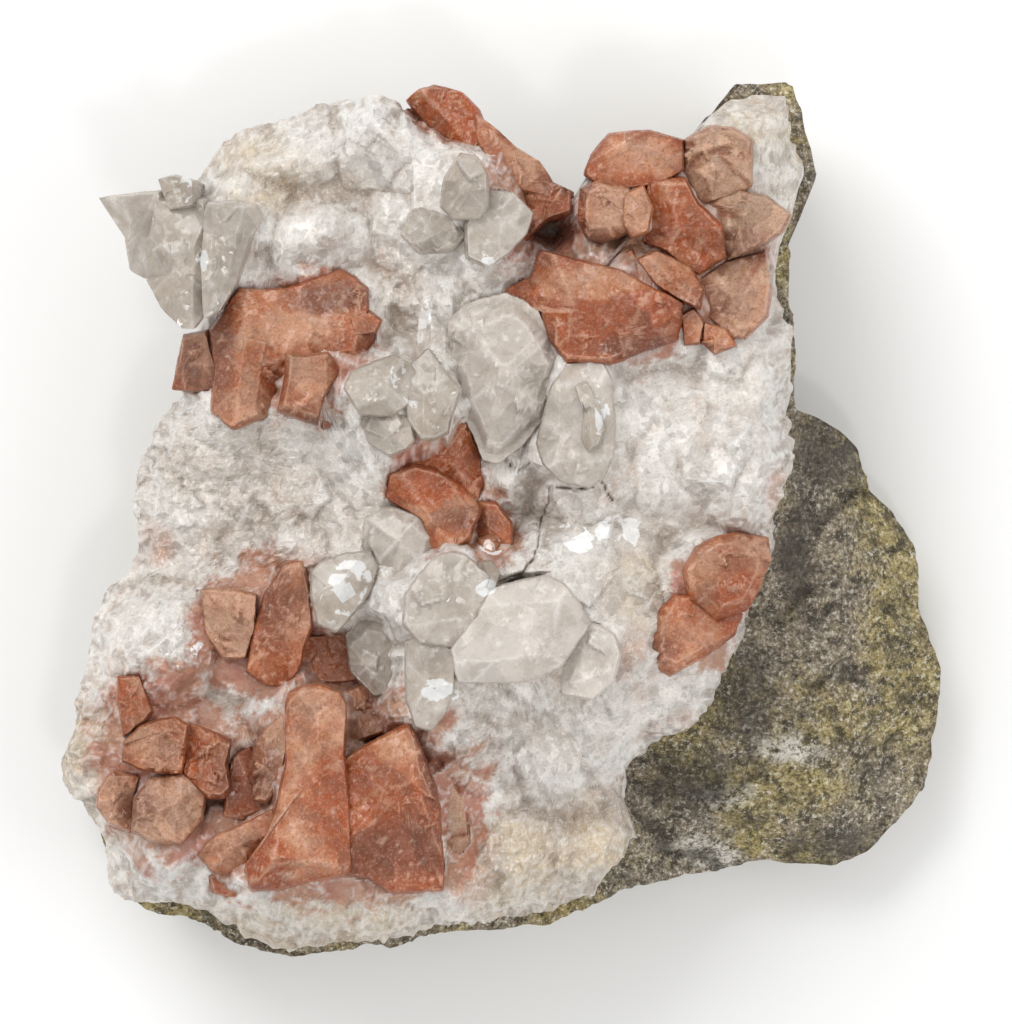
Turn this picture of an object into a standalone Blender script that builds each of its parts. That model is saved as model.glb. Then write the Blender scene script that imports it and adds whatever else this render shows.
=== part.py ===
"""Chabazite and analcime specimen: salmon chabazite and milky analcime on a crust over basalt.

Metres, +Z up. The specimen lies on the flat broken face of its basalt, with its crystals upwards.
X runs to the right and Y to the top of the crystal face as one looks down on it. The origin is under
the middle of the outline, on the surface that the specimen lies on.
"""

from collections import namedtuple
from math import cos, radians, sin, tau

import bmesh
import bpy
import numpy as np
from mathutils import Vector, noise

MM = 0.001

# Driving dimensions of the specimen
WIDTH = 100 * MM
SEAT_HEIGHT = 20 * MM
SEAT_WAVE = 1.2 * MM
CRUST_EDGE_HEIGHT = 29 * MM
CRUST_CROWN = 3 * MM
CRUST_RIM_THICKNESS = 4 * MM
SHOULDER_START = 0.88
CRYSTAL_ROOT = 26.5 * MM
ROOT_SPREAD = 0.8 * MM
CONTACT_GAP = 0.3 * MM
SOCKET_GROWTH = 0.5 * MM

# The crystal face as the photograph frames it: its extent in picture pixels
LEFT_PX, RIGHT_PX = 52, 950
TOP_PX, BOTTOM_PX = 70, 966
PX = WIDTH / (RIGHT_PX - LEFT_PX)
MIDDLE_PX = ((LEFT_PX + RIGHT_PX) / 2, (TOP_PX + BOTTOM_PX) / 2)
HUB_PX = (430, 545)

# Outlines, clockwise from the upper left, in picture pixels
CRUST_OUTLINE_PX = [
    (180, 205), (197, 165), (215, 127), (255, 112), (300, 100), (350, 88), (402, 95), (434, 86),
    (462, 94), (480, 117), (520, 149), (556, 182), (576, 190), (592, 165), (615, 137), (650, 133),
    (690, 136), (716, 101), (745, 76), (798, 80), (808, 120), (818, 162), (806, 200), (791, 238),
    (786, 290), (797, 320), (798, 400), (803, 440), (794, 485), (782, 522), (777, 575), (755, 620),
    (740, 652), (726, 690), (704, 727), (660, 752), (634, 775), (626, 802), (640, 842), (610, 880),
    (598, 902), (545, 926), (480, 934), (430, 937), (395, 951), (330, 955), (290, 962), (240, 947),
    (200, 925), (150, 917), (108, 898), (96, 868), (82, 830), (57, 783), (53, 762), (65, 738),
    (69, 700), (78, 650), (83, 612), (98, 587), (118, 574), (130, 540), (128, 500), (133, 460),
    (152, 418), (176, 395), (184, 345), (205, 300), (198, 250),
]
BASALT_OUTLINE_PX = [
    (190, 205), (206, 165), (223, 135), (260, 120), (300, 108), (350, 96), (402, 103), (434, 94),
    (458, 102), (474, 124), (514, 158), (552, 190), (577, 198), (596, 172), (620, 145), (650, 141),
    (692, 142), (722, 98), (743, 71), (804, 70), (815, 118), (828, 165), (813, 203), (799, 236),
    (800, 290), (806, 330), (803, 405), (838, 420), (868, 444), (884, 488), (908, 512), (930, 556),
    (935, 620), (950, 672), (944, 750), (938, 800), (905, 838), (880, 862), (842, 877), (780, 872),
    (700, 884), (640, 896), (606, 908), (548, 934), (480, 941), (430, 944), (395, 958), (330, 962),
    (290, 966), (238, 954), (198, 932), (150, 922), (112, 902), (102, 868), (90, 830), (66, 783),
    (60, 762), (73, 738), (77, 700), (86, 650), (91, 616), (104, 594), (124, 582), (138, 540),
    (136, 500), (141, 460), (160, 424), (184, 400), (193, 345), (213, 300), (208, 250),
]

# The basalt's broken flank: share of the outline's reach and of the rim's height, from the rim down
FLANK_STEPS = [(1.0, 0.80), (0.99, 0.58), (0.965, 0.34), (0.925, 0.13), (0.87, 0.0)]
FLANK_ROUGHNESS = 0.15

# Swellings of the crust: middle and half-axes in pixels, turn in degrees, summit and foot in mm
Swelling = namedtuple("Swelling", "middle across along turn summit foot")
SWELLINGS = [
    Swelling((288, 152), 102, 60, 12, 42.0, 30),
    Swelling((385, 142), 64, 52, -20, 43.5, 31),
    Swelling((312, 238), 66, 46, -5, 44.0, 31),
    Swelling((400, 285), 36, 46, 20, 37.0, 30),
    Swelling((456, 300), 38, 58, 0, 38.5, 30),
    Swelling((650, 388), 74, 44, 0, 40.5, 31),
    Swelling((738, 470), 62, 84, 15, 43.5, 31),
    Swelling((662, 468), 56, 64, 0, 41.5, 31),
    Swelling((765, 385), 36, 54, 0, 39.0, 30),
    Swelling((592, 542), 56, 40, 0, 36.5, 30),
    Swelling((642, 592), 46, 46, 0, 38.5, 30),
    Swelling((700, 650), 58, 88, -35, 35.5, 28),
    Swelling((525, 705), 92, 58, 0, 39.5, 30),
    Swelling((560, 762), 72, 44, 15, 36.5, 29),
    Swelling((325, 498), 92, 60, 0, 37.5, 30),
    Swelling((228, 448), 96, 50, 0, 37.0, 30),
    Swelling((186, 520), 66, 52, 0, 36.0, 29),
    Swelling((168, 642), 100, 62, 15, 39.0, 29),
    Swelling((150, 890), 58, 34, -20, 31.5, 26),
    Swelling((240, 922), 56, 34, -15, 32.0, 26),
    Swelling((330, 922), 70, 36, 0, 33.0, 26),
    Swelling((430, 903), 60, 38, 0, 33.0, 26),
    Swelling((540, 888), 70, 40, 10, 32.5, 26),
    Swelling((598, 846), 44, 46, 0, 32.0, 26),
    Swelling((500, 852), 62, 42, 0, 35.0, 28),
    Swelling((88, 760), 34, 70, 0, 34.0, 27),
    Swelling((112, 850), 36, 46, 0, 32.0, 26),
    Swelling((768, 150), 50, 76, 10, 36.5, 28),
    Swelling((742, 230), 58, 50, 0, 36.0, 28),
    Swelling((780, 330), 26, 60, 0, 34.0, 27),
]

# Hollows of the crust: middle and half-axes in pixels, turn in degrees, floor in mm
Hollow = namedtuple("Hollow", "middle across along turn floor")
HOLLOWS = [
    Hollow((562, 236), 86, 26, -14, 24.5),
    Hollow((528, 512), 46, 44, 0, 29.0),
    Hollow((398, 742), 60, 30, 0, 28.0),
    Hollow((236, 782), 44, 40, 0, 29.0),
    Hollow((402, 330), 26, 34, 0, 28.5),
    Hollow((330, 660), 44, 40, 0, 28.5),
    Hollow((520, 588), 40, 14, 10, 30.0),
]

# A crystal: the corners of its girdle in pixels, the height of its crown in mm, the crown's slope
# towards +X and +Y, the crown's size against the girdle, how far the girdle lies under the crown in
# mm, and how the root lies: its size against the girdle and its shift in pixels
Crystal = namedtuple("Crystal", "corners top slope crown drop root shift")


def cube(corners, top, slope=(0, 0), crown=0.86, drop=3.0, root=1.0, shift=(0, 0)):
    """A chabazite rhombohedron, nearly a cube: a broad crown over steep sides."""
    return Crystal(corners, top, slope, crown, drop, root, shift)


def gem(corners, top, slope=(0, 0), crown=0.55, drop=4.0, root=0.85, shift=(0, 0)):
    """An analcime trapezohedron: a small crown with kite-like faces that fall away all round."""
    return Crystal(corners, top, slope, crown, drop, root, shift)


CHABAZITE = {
    "chabazite_corner_cubes": [
        cube([(217, 292), (300, 284), (371, 284), (381, 318), (364, 405), (300, 425), (237, 428), (212, 385)],
             40.5, (0.02, 0.10), 0.84, 3.5),
        cube([(184, 338), (214, 328), (222, 388), (212, 400), (172, 393)], 37.0, (0.15, 0.1), 0.8, 3.5, shift=(14, 0)),
        cube([(287, 356), (338, 354), (330, 392), (318, 424), (278, 412)], 43.5, (-0.05, 0.12), 0.84, 3.0),
        cube([(318, 398), (354, 397), (367, 434), (330, 438)], 39.5, (0.1, 0.1), 0.8, 2.5),
    ],
    "chabazite_saddle": [
        cube([(452, 420), (468, 424), (481, 455), (483, 500), (455, 520), (412, 478), (405, 456)],
             39.5, (-0.1, 0.05), 0.6, 4.0),
        cube([(412, 462), (455, 478), (478, 505), (456, 550), (432, 553), (420, 520), (385, 494), (392, 468)],
             40.5, (0.05, -0.05), 0.6, 4.5),
        cube([(476, 500), (500, 506), (515, 530), (510, 556), (484, 562), (462, 548)], 37.5, (-0.1, 0.1), 0.62, 3.5),
    ],
    "chabazite_top_ridge": [
        cube([(405, 102), (432, 84), (462, 92), (481, 113), (486, 150), (452, 156)], 38.0, (0.1, 0.0), 0.7, 4.0,
             shift=(10, 16)),
        cube([(474, 112), (516, 147), (553, 180), (560, 214), (530, 236), (492, 178)], 38.5, (-0.1, 0.1), 0.62, 4.0,
             shift=(-8, 14)),
    ],
    "chabazite_upper_pocket": [
        cube([(608, 134), (648, 130), (686, 140), (696, 184), (640, 194), (584, 190), (589, 162)],
             39.5, (0.0, 0.08), 0.72, 4.0, shift=(8, 12)),
        cube([(584, 180), (632, 186), (648, 206), (646, 238), (620, 246), (592, 240), (578, 216)],
             41.5, (0.05, -0.1), 0.72, 4.0),
        cube([(634, 178), (692, 186), (724, 226), (720, 268), (686, 262), (640, 244)], 39.5, (-0.05, 0.0), 0.6, 3.5),
        cube([(684, 142), (748, 138), (772, 196), (786, 228), (768, 256), (722, 266), (700, 200)],
             37.5, (-0.12, 0.0), 0.65, 4.0),
        cube([(704, 264), (764, 268), (772, 318), (740, 340), (712, 322)], 36.5, (-0.1, 0.05), 0.7, 3.5),
        cube([(538, 249), (581, 257), (650, 285), (690, 308), (680, 344), (643, 357), (606, 364), (568, 356),
              (542, 318), (486, 295)], 42.5, (0.0, 0.04), 0.62, 4.5),
        cube([(634, 262), (654, 252), (688, 268), (708, 304), (702, 326), (684, 330)], 40.5, (0.08, 0.05), 0.7, 3.0),
        cube([(690, 312), (722, 316), (736, 346), (712, 356), (682, 344)], 38.5, (0.0, 0.05), 0.65, 2.5),
    ],
    "chabazite_column_group": [
        cube([(288, 694), (306, 683), (334, 682), (352, 700), (352, 872), (290, 890), (244, 889), (280, 800)],
             42.0, (0.10, -0.02), 0.80, 5.0),
        cube([(346, 762), (410, 723), (432, 788), (446, 890), (400, 890), (345, 880)], 41.5, (-0.05, 0.10), 0.84, 4.0),
        cube([(198, 838), (234, 824), (270, 814), (282, 834), (268, 884), (246, 892), (212, 874)],
             37.0, (0.1, 0.05), 0.62, 3.5),
        cube([(257, 738), (284, 710), (296, 730), (282, 800), (262, 800)], 38.0, (0.2, 0.0), 0.75, 3.0),
        cube([(340, 692), (378, 698), (390, 740), (384, 760), (340, 778)], 35.5, (-0.1, 0.05), 0.8, 3.0),
    ],
    "chabazite_left_patch": [
        cube([(122, 676), (146, 676), (164, 720), (190, 724), (170, 776), (130, 770), (112, 740)],
             36.5, (-0.1, 0.0), 0.62, 3.5),
        cube([(160, 712), (196, 722), (228, 742), (232, 790), (200, 808), (160, 790), (148, 748)],
             37.5, (0.05, -0.1), 0.62, 3.5),
        cube([(118, 752), (164, 770), (206, 796), (204, 822), (176, 846), (132, 842), (98, 802)],
             37.5, (0.0, -0.1), 0.7, 4.0),
    ],
    "chabazite_middle_left": [
        cube([(202, 596), (250, 584), (268, 610), (262, 650), (230, 654), (204, 634)], 37.5, (0.0, 0.05), 0.65, 3.0),
        cube([(252, 590), (310, 560), (316, 612), (304, 654), (280, 694), (250, 668), (240, 630)],
             39.5, (0.0, 0.0), 0.65, 4.0),
        cube([(306, 634), (348, 630), (372, 664), (352, 684), (300, 682)], 33.5, (0.0, 0.0), 0.8, 3.0),
    ],
    "chabazite_right_patch": [
        cube([(698, 546), (738, 532), (770, 540), (770, 560), (752, 604), (716, 612), (690, 586)],
             39.5, (-0.12, 0.05), 0.72, 3.0, shift=(-14, 0)),
        cube([(676, 600), (716, 596), (748, 606), (736, 634), (702, 658), (670, 676), (650, 660), (653, 628)],
             38.5, (-0.10, 0.05), 0.72, 3.0, shift=(-8, 6)),
    ],
}

ANALCIME = {
    "analcime_left_spray": [
        gem([(97, 196), (160, 190), (170, 236), (160, 270), (146, 282), (130, 273), (124, 238)],
            40.0, (0.15, 0.15), 0.7, 2.5, 0.45, (78, -6)),
        gem([(156, 200), (206, 202), (214, 262), (210, 312), (196, 333), (184, 333), (162, 312), (146, 282), (148, 240)],
            43.5, (0.05, 0.1), 0.6, 4.0, 0.6, (44, -34)),
        gem([(212, 204), (258, 207), (264, 220), (252, 240), (237, 288), (220, 316), (204, 324), (200, 262)],
            44.5, (-0.15, 0.1), 0.55, 4.0, 0.6, (26, -24)),
        gem([(158, 180), (176, 176), (195, 182), (196, 208), (170, 212)], 42.0, (0.0, -0.1), 0.6, 2.0, 0.8, (24, 4)),
    ],
    "analcime_top_trio": [
        gem([(460, 154), (478, 158), (488, 176), (489, 209), (479, 221), (454, 222), (440, 208), (444, 180)],
            46.0, (-0.05, 0.1), 0.6, 3.0),
        gem([(421, 206), (442, 206), (468, 236), (454, 253), (419, 255), (401, 236), (409, 216)],
            45.0, (-0.1, -0.05), 0.6, 3.0),
        gem([(482, 188), (514, 193), (535, 214), (528, 234), (510, 255), (487, 270), (466, 260), (464, 226)],
            43.5, (0.12, -0.05), 0.66, 3.0, 0.8, (-10, 0)),
    ],
    "analcime_star": [
        gem([(344, 386), (360, 366), (396, 353), (418, 370), (420, 396), (392, 418), (360, 416), (350, 400)],
            46.5, (0.0, 0.05), 0.5, 3.5),
        gem([(408, 362), (426, 347), (444, 366), (462, 388), (452, 412), (449, 434), (426, 442), (408, 424), (402, 392)],
            46.0, (0.08, 0.0), 0.5, 3.5),
        gem([(362, 412), (394, 402), (414, 424), (414, 444), (392, 457), (368, 444)], 44.5, (0.0, -0.15), 0.5, 3.5),
    ],
    "analcime_globe": [
        gem([(448, 304), (486, 290), (524, 300), (550, 332), (562, 366), (548, 400), (536, 434), (508, 462),
             (488, 472), (474, 452), (462, 408), (446, 350)], 46.0, (-0.02, 0.05), 0.5, 6.0, 0.8),
    ],
    "analcime_ridge": [
        gem([(562, 364), (600, 361), (612, 398), (622, 432), (614, 468), (590, 488), (556, 486), (538, 466),
             (537, 430), (550, 396)], 44.0, (0.0, 0.0), 0.42, 4.5),
    ],
    "analcime_shelf": [
        gem([(390, 508), (418, 512), (438, 536), (438, 564), (414, 582), (380, 582), (362, 550), (374, 516)],
            42.5, (0.05, 0.1), 0.6, 3.0),
        gem([(314, 564), (356, 549), (380, 566), (376, 604), (348, 633), (318, 622), (311, 594)],
            42.5, (-0.1, 0.0), 0.6, 3.0),
        gem([(346, 634), (370, 606), (398, 620), (402, 660), (388, 696), (364, 692), (348, 664)],
            40.0, (-0.05, -0.05), 0.55, 3.0),
    ],
    "analcime_heart": [
        gem([(444, 551), (468, 553), (488, 576), (492, 610), (484, 640), (436, 650), (404, 634), (399, 606), (410, 574)],
            47.5, (-0.05, 0.08), 0.6, 4.0),
        gem([(406, 636), (436, 628), (456, 652), (450, 690), (432, 731), (416, 727), (405, 706)],
            45.5, (0.0, -0.12), 0.55, 4.0),
        gem([(484, 586), (549, 574), (582, 604), (594, 630), (570, 668), (520, 682), (456, 684), (446, 650), (474, 616)],
            47.0, (0.03, -0.05), 0.66, 4.5),
        gem([(578, 626), (612, 630), (621, 652), (616, 680), (592, 700), (552, 690), (552, 650)],
            44.0, (0.08, 0.0), 0.6, 3.5),
    ],
}

CHABAZITE_COLOUR = (0.66, 0.26, 0.15, 1)
ANALCIME_COLOUR = (0.80, 0.78, 0.72, 1)
CRUST_COLOUR = (0.74, 0.72, 0.67, 1)
BASALT_COLOUR = (0.16, 0.15, 0.10, 1)


def clear_scene():
    for obj in list(bpy.data.objects):
        bpy.data.objects.remove(obj, do_unlink=True)


def plain_material(name, colour, roughness):
    material = bpy.data.materials.new(name)
    material.use_nodes = True
    shader = material.node_tree.nodes["Principled BSDF"]
    shader.inputs["Base Color"].default_value = colour
    shader.inputs["Roughness"].default_value = roughness
    shader.inputs["Metallic"].default_value = 0.0
    return material


def plan(pixel):
    """The plan position, in metres, of a pixel of the crystal face."""
    return np.array([pixel[0] - MIDDLE_PX[0], MIDDLE_PX[1] - pixel[1]]) * PX


def outline_reach(outline_px, angles):
    """How far an outline lies from the hub at each angle, in metres: straight between its corners."""
    corners = np.array([plan(p) for p in outline_px]) - plan(HUB_PX)
    turn = np.arctan2(corners[:, 1], corners[:, 0])
    ahead = np.roll(corners, -1, axis=0)
    reach = np.zeros(len(angles))
    for corner, after, start in zip(corners, ahead, turn):
        side = after - corner
        sweep = (np.arctan2(after[1], after[0]) - start + np.pi) % tau - np.pi
        within = ((angles - start) * np.sign(sweep)) % tau <= abs(sweep)
        across = corner[0] * side[1] - corner[1] * side[0]
        slant = np.cos(angles) * side[1] - np.sin(angles) * side[0]
        met = within & (np.abs(slant) > 1e-9)
        reach[met] = np.maximum(reach[met], across / slant[met])
    return reach


def seat(x, y):
    """The broken surface of the basalt that the crust grew on: long low waves."""
    return SEAT_HEIGHT + SEAT_WAVE * (np.sin(x * 95 + 0.6) * np.cos(y * 80) + 0.6 * np.sin(y * 150 + x * 60))


def ellipse_radius(x, y, form):
    """0 in the middle of a swelling or hollow and 1 on its rim."""
    middle = plan(form.middle)
    turn = radians(form.turn)
    east, north = x - middle[0], y - middle[1]
    along_x = (east * cos(turn) + north * sin(turn)) / (form.across * PX)
    along_y = (north * cos(turn) - east * sin(turn)) / (form.along * PX)
    return np.hypot(along_x, along_y)


def crust_top(x, y, share):
    """Height of the crust: a low dome, the highest swelling at each place, hollows sunk into them,
    and a shoulder that falls to the rim, where share is 1."""
    height = CRUST_EDGE_HEIGHT + CRUST_CROWN * (1 - share**2)
    for form in SWELLINGS:
        bulge = np.sqrt(np.clip(1 - ellipse_radius(x, y, form) ** 2, 0, None))
        height = np.maximum(height, (form.foot + (form.summit - form.foot) * bulge) * MM)
    for form in HOLLOWS:
        radius = ellipse_radius(x, y, form)
        depth = np.clip(1 - radius**2, 0, None)
        height = np.where(radius < 1, height - depth * np.maximum(height - form.floor * MM, 0), height)
    shoulder = np.clip((share - SHOULDER_START) / (1 - SHOULDER_START), 0, 1) ** 2
    floor = seat(x, y) + CRUST_RIM_THICKNESS
    return floor + (height - floor) * (1 - shoulder)


def mesh_object(name, vertices, faces, material):
    mesh = bpy.data.meshes.new(name)
    mesh.from_pydata([tuple(v) for v in vertices], [], faces)
    mesh.materials.append(material)
    obj = bpy.data.objects.new(name, mesh)
    bpy.context.scene.collection.objects.link(obj)
    return obj


def ring_faces(rings, sectors, hub_top, hub_bottom=None):
    """Faces of rings of vertices from the top hub outwards and down, closed by a fan or a cap."""
    faces = [(hub_top, s, (s + 1) % sectors) for s in range(sectors)]
    for ring in range(rings - 1):
        for s in range(sectors):
            t = (s + 1) % sectors
            near, far = ring * sectors, (ring + 1) * sectors
            faces.append((near + s, far + s, far + t, near + t))
    last = (rings - 1) * sectors
    if hub_bottom is None:
        faces.append([last + s for s in reversed(range(sectors))])
    else:
        faces += [(hub_bottom, last + (s + 1) % sectors, last + s) for s in range(sectors)]
    return faces


def crust_solid(material, sectors=82, rings=15):
    """The milky crust: concentric rings of its top, then rings of its underside back to the hub."""
    angles = np.arange(sectors) * tau / sectors
    reach = outline_reach(CRUST_OUTLINE_PX, angles)
    hub = plan(HUB_PX)
    vertices = []
    for share in np.arange(1, rings + 1) / rings:
        x = hub[0] + reach * share * np.cos(angles)
        y = hub[1] + reach * share * np.sin(angles)
        vertices += list(np.stack([x, y, crust_top(x, y, share)], axis=1))
    under_shares = [0.985, 0.84, 0.68, 0.52, 0.36, 0.18]
    for share in under_shares:
        x = hub[0] + reach * share * np.cos(angles)
        y = hub[1] + reach * share * np.sin(angles)
        vertices += list(np.stack([x, y, seat(x, y) + 1.6 * CONTACT_GAP], axis=1))
    hub_top = len(vertices)
    vertices.append((*hub, float(crust_top(hub[0], hub[1], 0.0))))
    vertices.append((*hub, float(seat(hub[0], hub[1])) + 1.6 * CONTACT_GAP))
    faces = ring_faces(rings + len(under_shares), sectors, hub_top, hub_top + 1)
    return mesh_object("white_crust", vertices, faces, material)


def basalt_solid(material, sectors=84, rings=8):
    """The basalt: its top meets the crust, its lobe falls away beyond the crust, and its broken flank
    draws in to the flat face that it lies on."""
    angles = np.arange(sectors) * tau / sectors
    reach = outline_reach(BASALT_OUTLINE_PX, angles)
    bare = np.clip(reach - outline_reach(CRUST_OUTLINE_PX, angles), 0, None)
    fall = np.minimum(12 * MM, 0.9 * bare)
    hub = plan(HUB_PX)
    vertices = []
    for share in np.arange(1, rings + 1) / rings:
        x = hub[0] + reach * share * np.cos(angles)
        y = hub[1] + reach * share * np.sin(angles)
        from_edge = reach * (1 - share)
        drop = fall * np.exp(-((from_edge / (0.42 * bare + 1 * MM)) ** 1.5))
        lumps = [noise.noise(Vector((a, b, 0)) * 120) for a, b in zip(x, y)]
        relief = np.array(lumps) * 1.5 * MM * np.clip(drop / (3 * MM), 0, 1)
        vertices += list(np.stack([x, y, seat(x, y) - drop + relief], axis=1))
    rim_height = np.array([v[2] for v in vertices[-sectors:]])
    for share, level in FLANK_STEPS:
        chips = [noise.noise(Vector((3.5 * cos(a), 3.5 * sin(a), 3 * level))) for a in angles]
        broken = share - FLANK_ROUGHNESS * np.abs(chips) * (level > 0)
        x = hub[0] + reach * broken * np.cos(angles)
        y = hub[1] + reach * broken * np.sin(angles)
        vertices += list(np.stack([x, y, rim_height * level], axis=1))
    hub_top = len(vertices)
    vertices.append((*hub, float(seat(hub[0], hub[1]))))
    faces = ring_faces(rings + len(FLANK_STEPS), sectors, hub_top)
    return mesh_object("basalt_matrix", vertices, faces, material)


def crystal_points(crystal, growth=0.0):
    """Corners of a crystal: its crown, its girdle and its root, each grown outwards by growth."""
    girdle = np.array([plan(p) for p in crystal.corners])
    middle = girdle.mean(axis=0)
    arms = girdle - middle
    arms = arms * (1 + growth / np.linalg.norm(arms, axis=1, keepdims=True))
    crown_flat = middle + arms * crystal.crown
    root_flat = middle + arms * crystal.root + np.array([crystal.shift[0], -crystal.shift[1]]) * PX
    lift = crystal.top * MM + growth + arms @ np.array(crystal.slope)
    crown = np.column_stack([crown_flat, crystal.top * MM + growth + (lift - crystal.top * MM - growth) * crystal.crown])
    rim = np.column_stack([middle + arms, lift - crystal.drop * MM])
    root_height = CRYSTAL_ROOT + ROOT_SPREAD * sin(middle @ (700, 900)) - growth
    root = np.column_stack([root_flat, np.full(len(girdle), root_height)])
    return np.vstack([crown, rim, root])


def crystal_object(name, crystal, material, growth=0.0, helper=False):
    """The convex solid round a crystal's corners."""
    mesh = bpy.data.meshes.new(name)
    shape = bmesh.new()
    for point in crystal_points(crystal, growth):
        shape.verts.new(point)
    hull = bmesh.ops.convex_hull(shape, input=shape.verts)
    inner = [v for v in hull["geom_interior"] if isinstance(v, bmesh.types.BMVert)]
    bmesh.ops.delete(shape, geom=inner, context="VERTS")
    bmesh.ops.dissolve_limit(shape, angle_limit=radians(2), verts=shape.verts, edges=shape.edges)
    bmesh.ops.recalc_face_normals(shape, faces=shape.faces)
    shape.to_mesh(mesh)
    shape.free()
    mesh.materials.append(material)
    obj = bpy.data.objects.new(name, mesh)
    bpy.context.scene.collection.objects.link(obj)
    if helper:
        obj.hide_render = True
        obj.display_type = "WIRE"
    return obj


def add_boolean(target, other, operation):
    modifier = target.modifiers.new(f"{operation.lower()}_{other.name}", "BOOLEAN")
    modifier.object = other
    modifier.operation = operation
    modifier.solver = "EXACT"


def plan_box(crystal):
    points = crystal_points(crystal, SOCKET_GROWTH)
    return points.min(axis=0), points.max(axis=0)


def boxes_meet(first, second):
    (low_a, high_a), (low_b, high_b) = first, second
    return bool((low_a <= high_b).all() and (low_b <= high_a).all())


def crystal_cluster(name, crystals, material, earlier):
    """One node of intergrown crystals, cut back where an earlier cluster's sockets reach it."""
    cluster = crystal_object(name, crystals[0], material)
    for number, crystal in enumerate(crystals[1:], start=2):
        add_boolean(cluster, crystal_object(f"{name}_helper_{number}", crystal, material, helper=True), "UNION")
    for box, socket in earlier:
        if any(boxes_meet(box, plan_box(crystal)) for crystal in crystals):
            add_boolean(cluster, socket, "DIFFERENCE")
    return cluster


def cut_sockets(crust, sockets):
    """Sinks every crystal's socket into the crust, all in one cut."""
    group = bpy.data.collections.new("sockets")
    bpy.context.scene.collection.children.link(group)
    for socket in sockets:
        group.objects.link(socket)
    modifier = crust.modifiers.new("cut_sockets", "BOOLEAN")
    modifier.operand_type = "COLLECTION"
    modifier.collection = group
    modifier.operation = "DIFFERENCE"
    modifier.solver = "EXACT"


def main():
    clear_scene()
    basalt_look = plain_material("basalt", BASALT_COLOUR, 0.85)
    crust_look = plain_material("milky_crust", CRUST_COLOUR, 0.45)
    analcime_look = plain_material("analcime", ANALCIME_COLOUR, 0.2)
    chabazite_look = plain_material("chabazite", CHABAZITE_COLOUR, 0.3)
    basalt_solid(basalt_look)
    crust = crust_solid(crust_look)
    sockets = []
    for material, family in ((analcime_look, ANALCIME), (chabazite_look, CHABAZITE)):
        for name, crystals in family.items():
            crystal_cluster(name, crystals, material, sockets)
            for number, crystal in enumerate(crystals, start=1):
                socket = crystal_object(f"{name}_socket_{number}", crystal, material, SOCKET_GROWTH, helper=True)
                sockets.append((plan_box(crystal), socket))
    cut_sockets(crust, [socket for _, socket in sockets])


main()
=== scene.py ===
# %% [markdown]
# # A chabazite and analcime specimen
# The object is a piece of dark basalt. White zeolite grew over it as a lumpy crust, and the pockets of
# that crust hold salmon chabazite, in blocky crystals that are nearly cubes, and clear to milky
# analcime, in many-faced balls. It lies on the flat back of the rock, so we look straight down on it.
# We load the plain solids first. They fix every size and place, so a finished piece that repeats a
# solid's values fits without any adjusting.

# %% Load the solids
from collections import namedtuple
from math import cos, pi, radians, sin, tau

import bpy
import numpy as np
from mathutils import Euler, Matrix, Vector


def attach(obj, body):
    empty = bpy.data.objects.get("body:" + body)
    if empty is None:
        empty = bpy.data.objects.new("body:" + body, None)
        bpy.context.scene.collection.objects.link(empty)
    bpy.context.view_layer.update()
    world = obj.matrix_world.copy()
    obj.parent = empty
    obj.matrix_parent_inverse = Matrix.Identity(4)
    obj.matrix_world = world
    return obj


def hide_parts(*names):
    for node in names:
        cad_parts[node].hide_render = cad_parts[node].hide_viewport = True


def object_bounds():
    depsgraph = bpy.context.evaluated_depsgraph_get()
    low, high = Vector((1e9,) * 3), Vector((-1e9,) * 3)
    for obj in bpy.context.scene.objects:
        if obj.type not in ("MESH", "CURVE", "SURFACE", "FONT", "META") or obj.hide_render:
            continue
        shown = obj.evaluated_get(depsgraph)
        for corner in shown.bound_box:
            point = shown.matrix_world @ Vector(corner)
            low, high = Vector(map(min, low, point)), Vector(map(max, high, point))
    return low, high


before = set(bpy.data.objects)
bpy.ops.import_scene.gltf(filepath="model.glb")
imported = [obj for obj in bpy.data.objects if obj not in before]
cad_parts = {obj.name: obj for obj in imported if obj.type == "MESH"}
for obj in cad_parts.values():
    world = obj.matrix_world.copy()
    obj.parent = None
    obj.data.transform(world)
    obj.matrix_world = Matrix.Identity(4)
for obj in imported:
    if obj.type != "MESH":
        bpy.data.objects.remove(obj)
solid_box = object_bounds()
print("the solids reach from", solid_box[0], "to", solid_box[1])

# %% [markdown]
# ## A plan in pixels
# All outlines were read off the photograph, so it is simplest to keep them in its pixels and turn them
# into metres in one place. The specimen is 898 pixels wide, and 100 mm in truth. Heights can't be read
# off a picture, so they are given in millimetres.

# %% Scale and plan
MM = 0.001
SPECIMEN_WIDTH = 100 * MM
LEFT_PX, RIGHT_PX = 52, 950
TOP_PX, BOTTOM_PX = 70, 966
PX = SPECIMEN_WIDTH / (RIGHT_PX - LEFT_PX)
MIDDLE_PX = ((LEFT_PX + RIGHT_PX) / 2, (TOP_PX + BOTTOM_PX) / 2)
HUB_PX = (430, 545)


def plan(pixel):
    """Plan position in metres of a pixel: its distance from the middle pixel, with Y upwards."""
    return np.array([pixel[0] - MIDDLE_PX[0], MIDDLE_PX[1] - pixel[1]]) * PX


print("one pixel is", round(PX / MM, 4), "mm")

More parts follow.
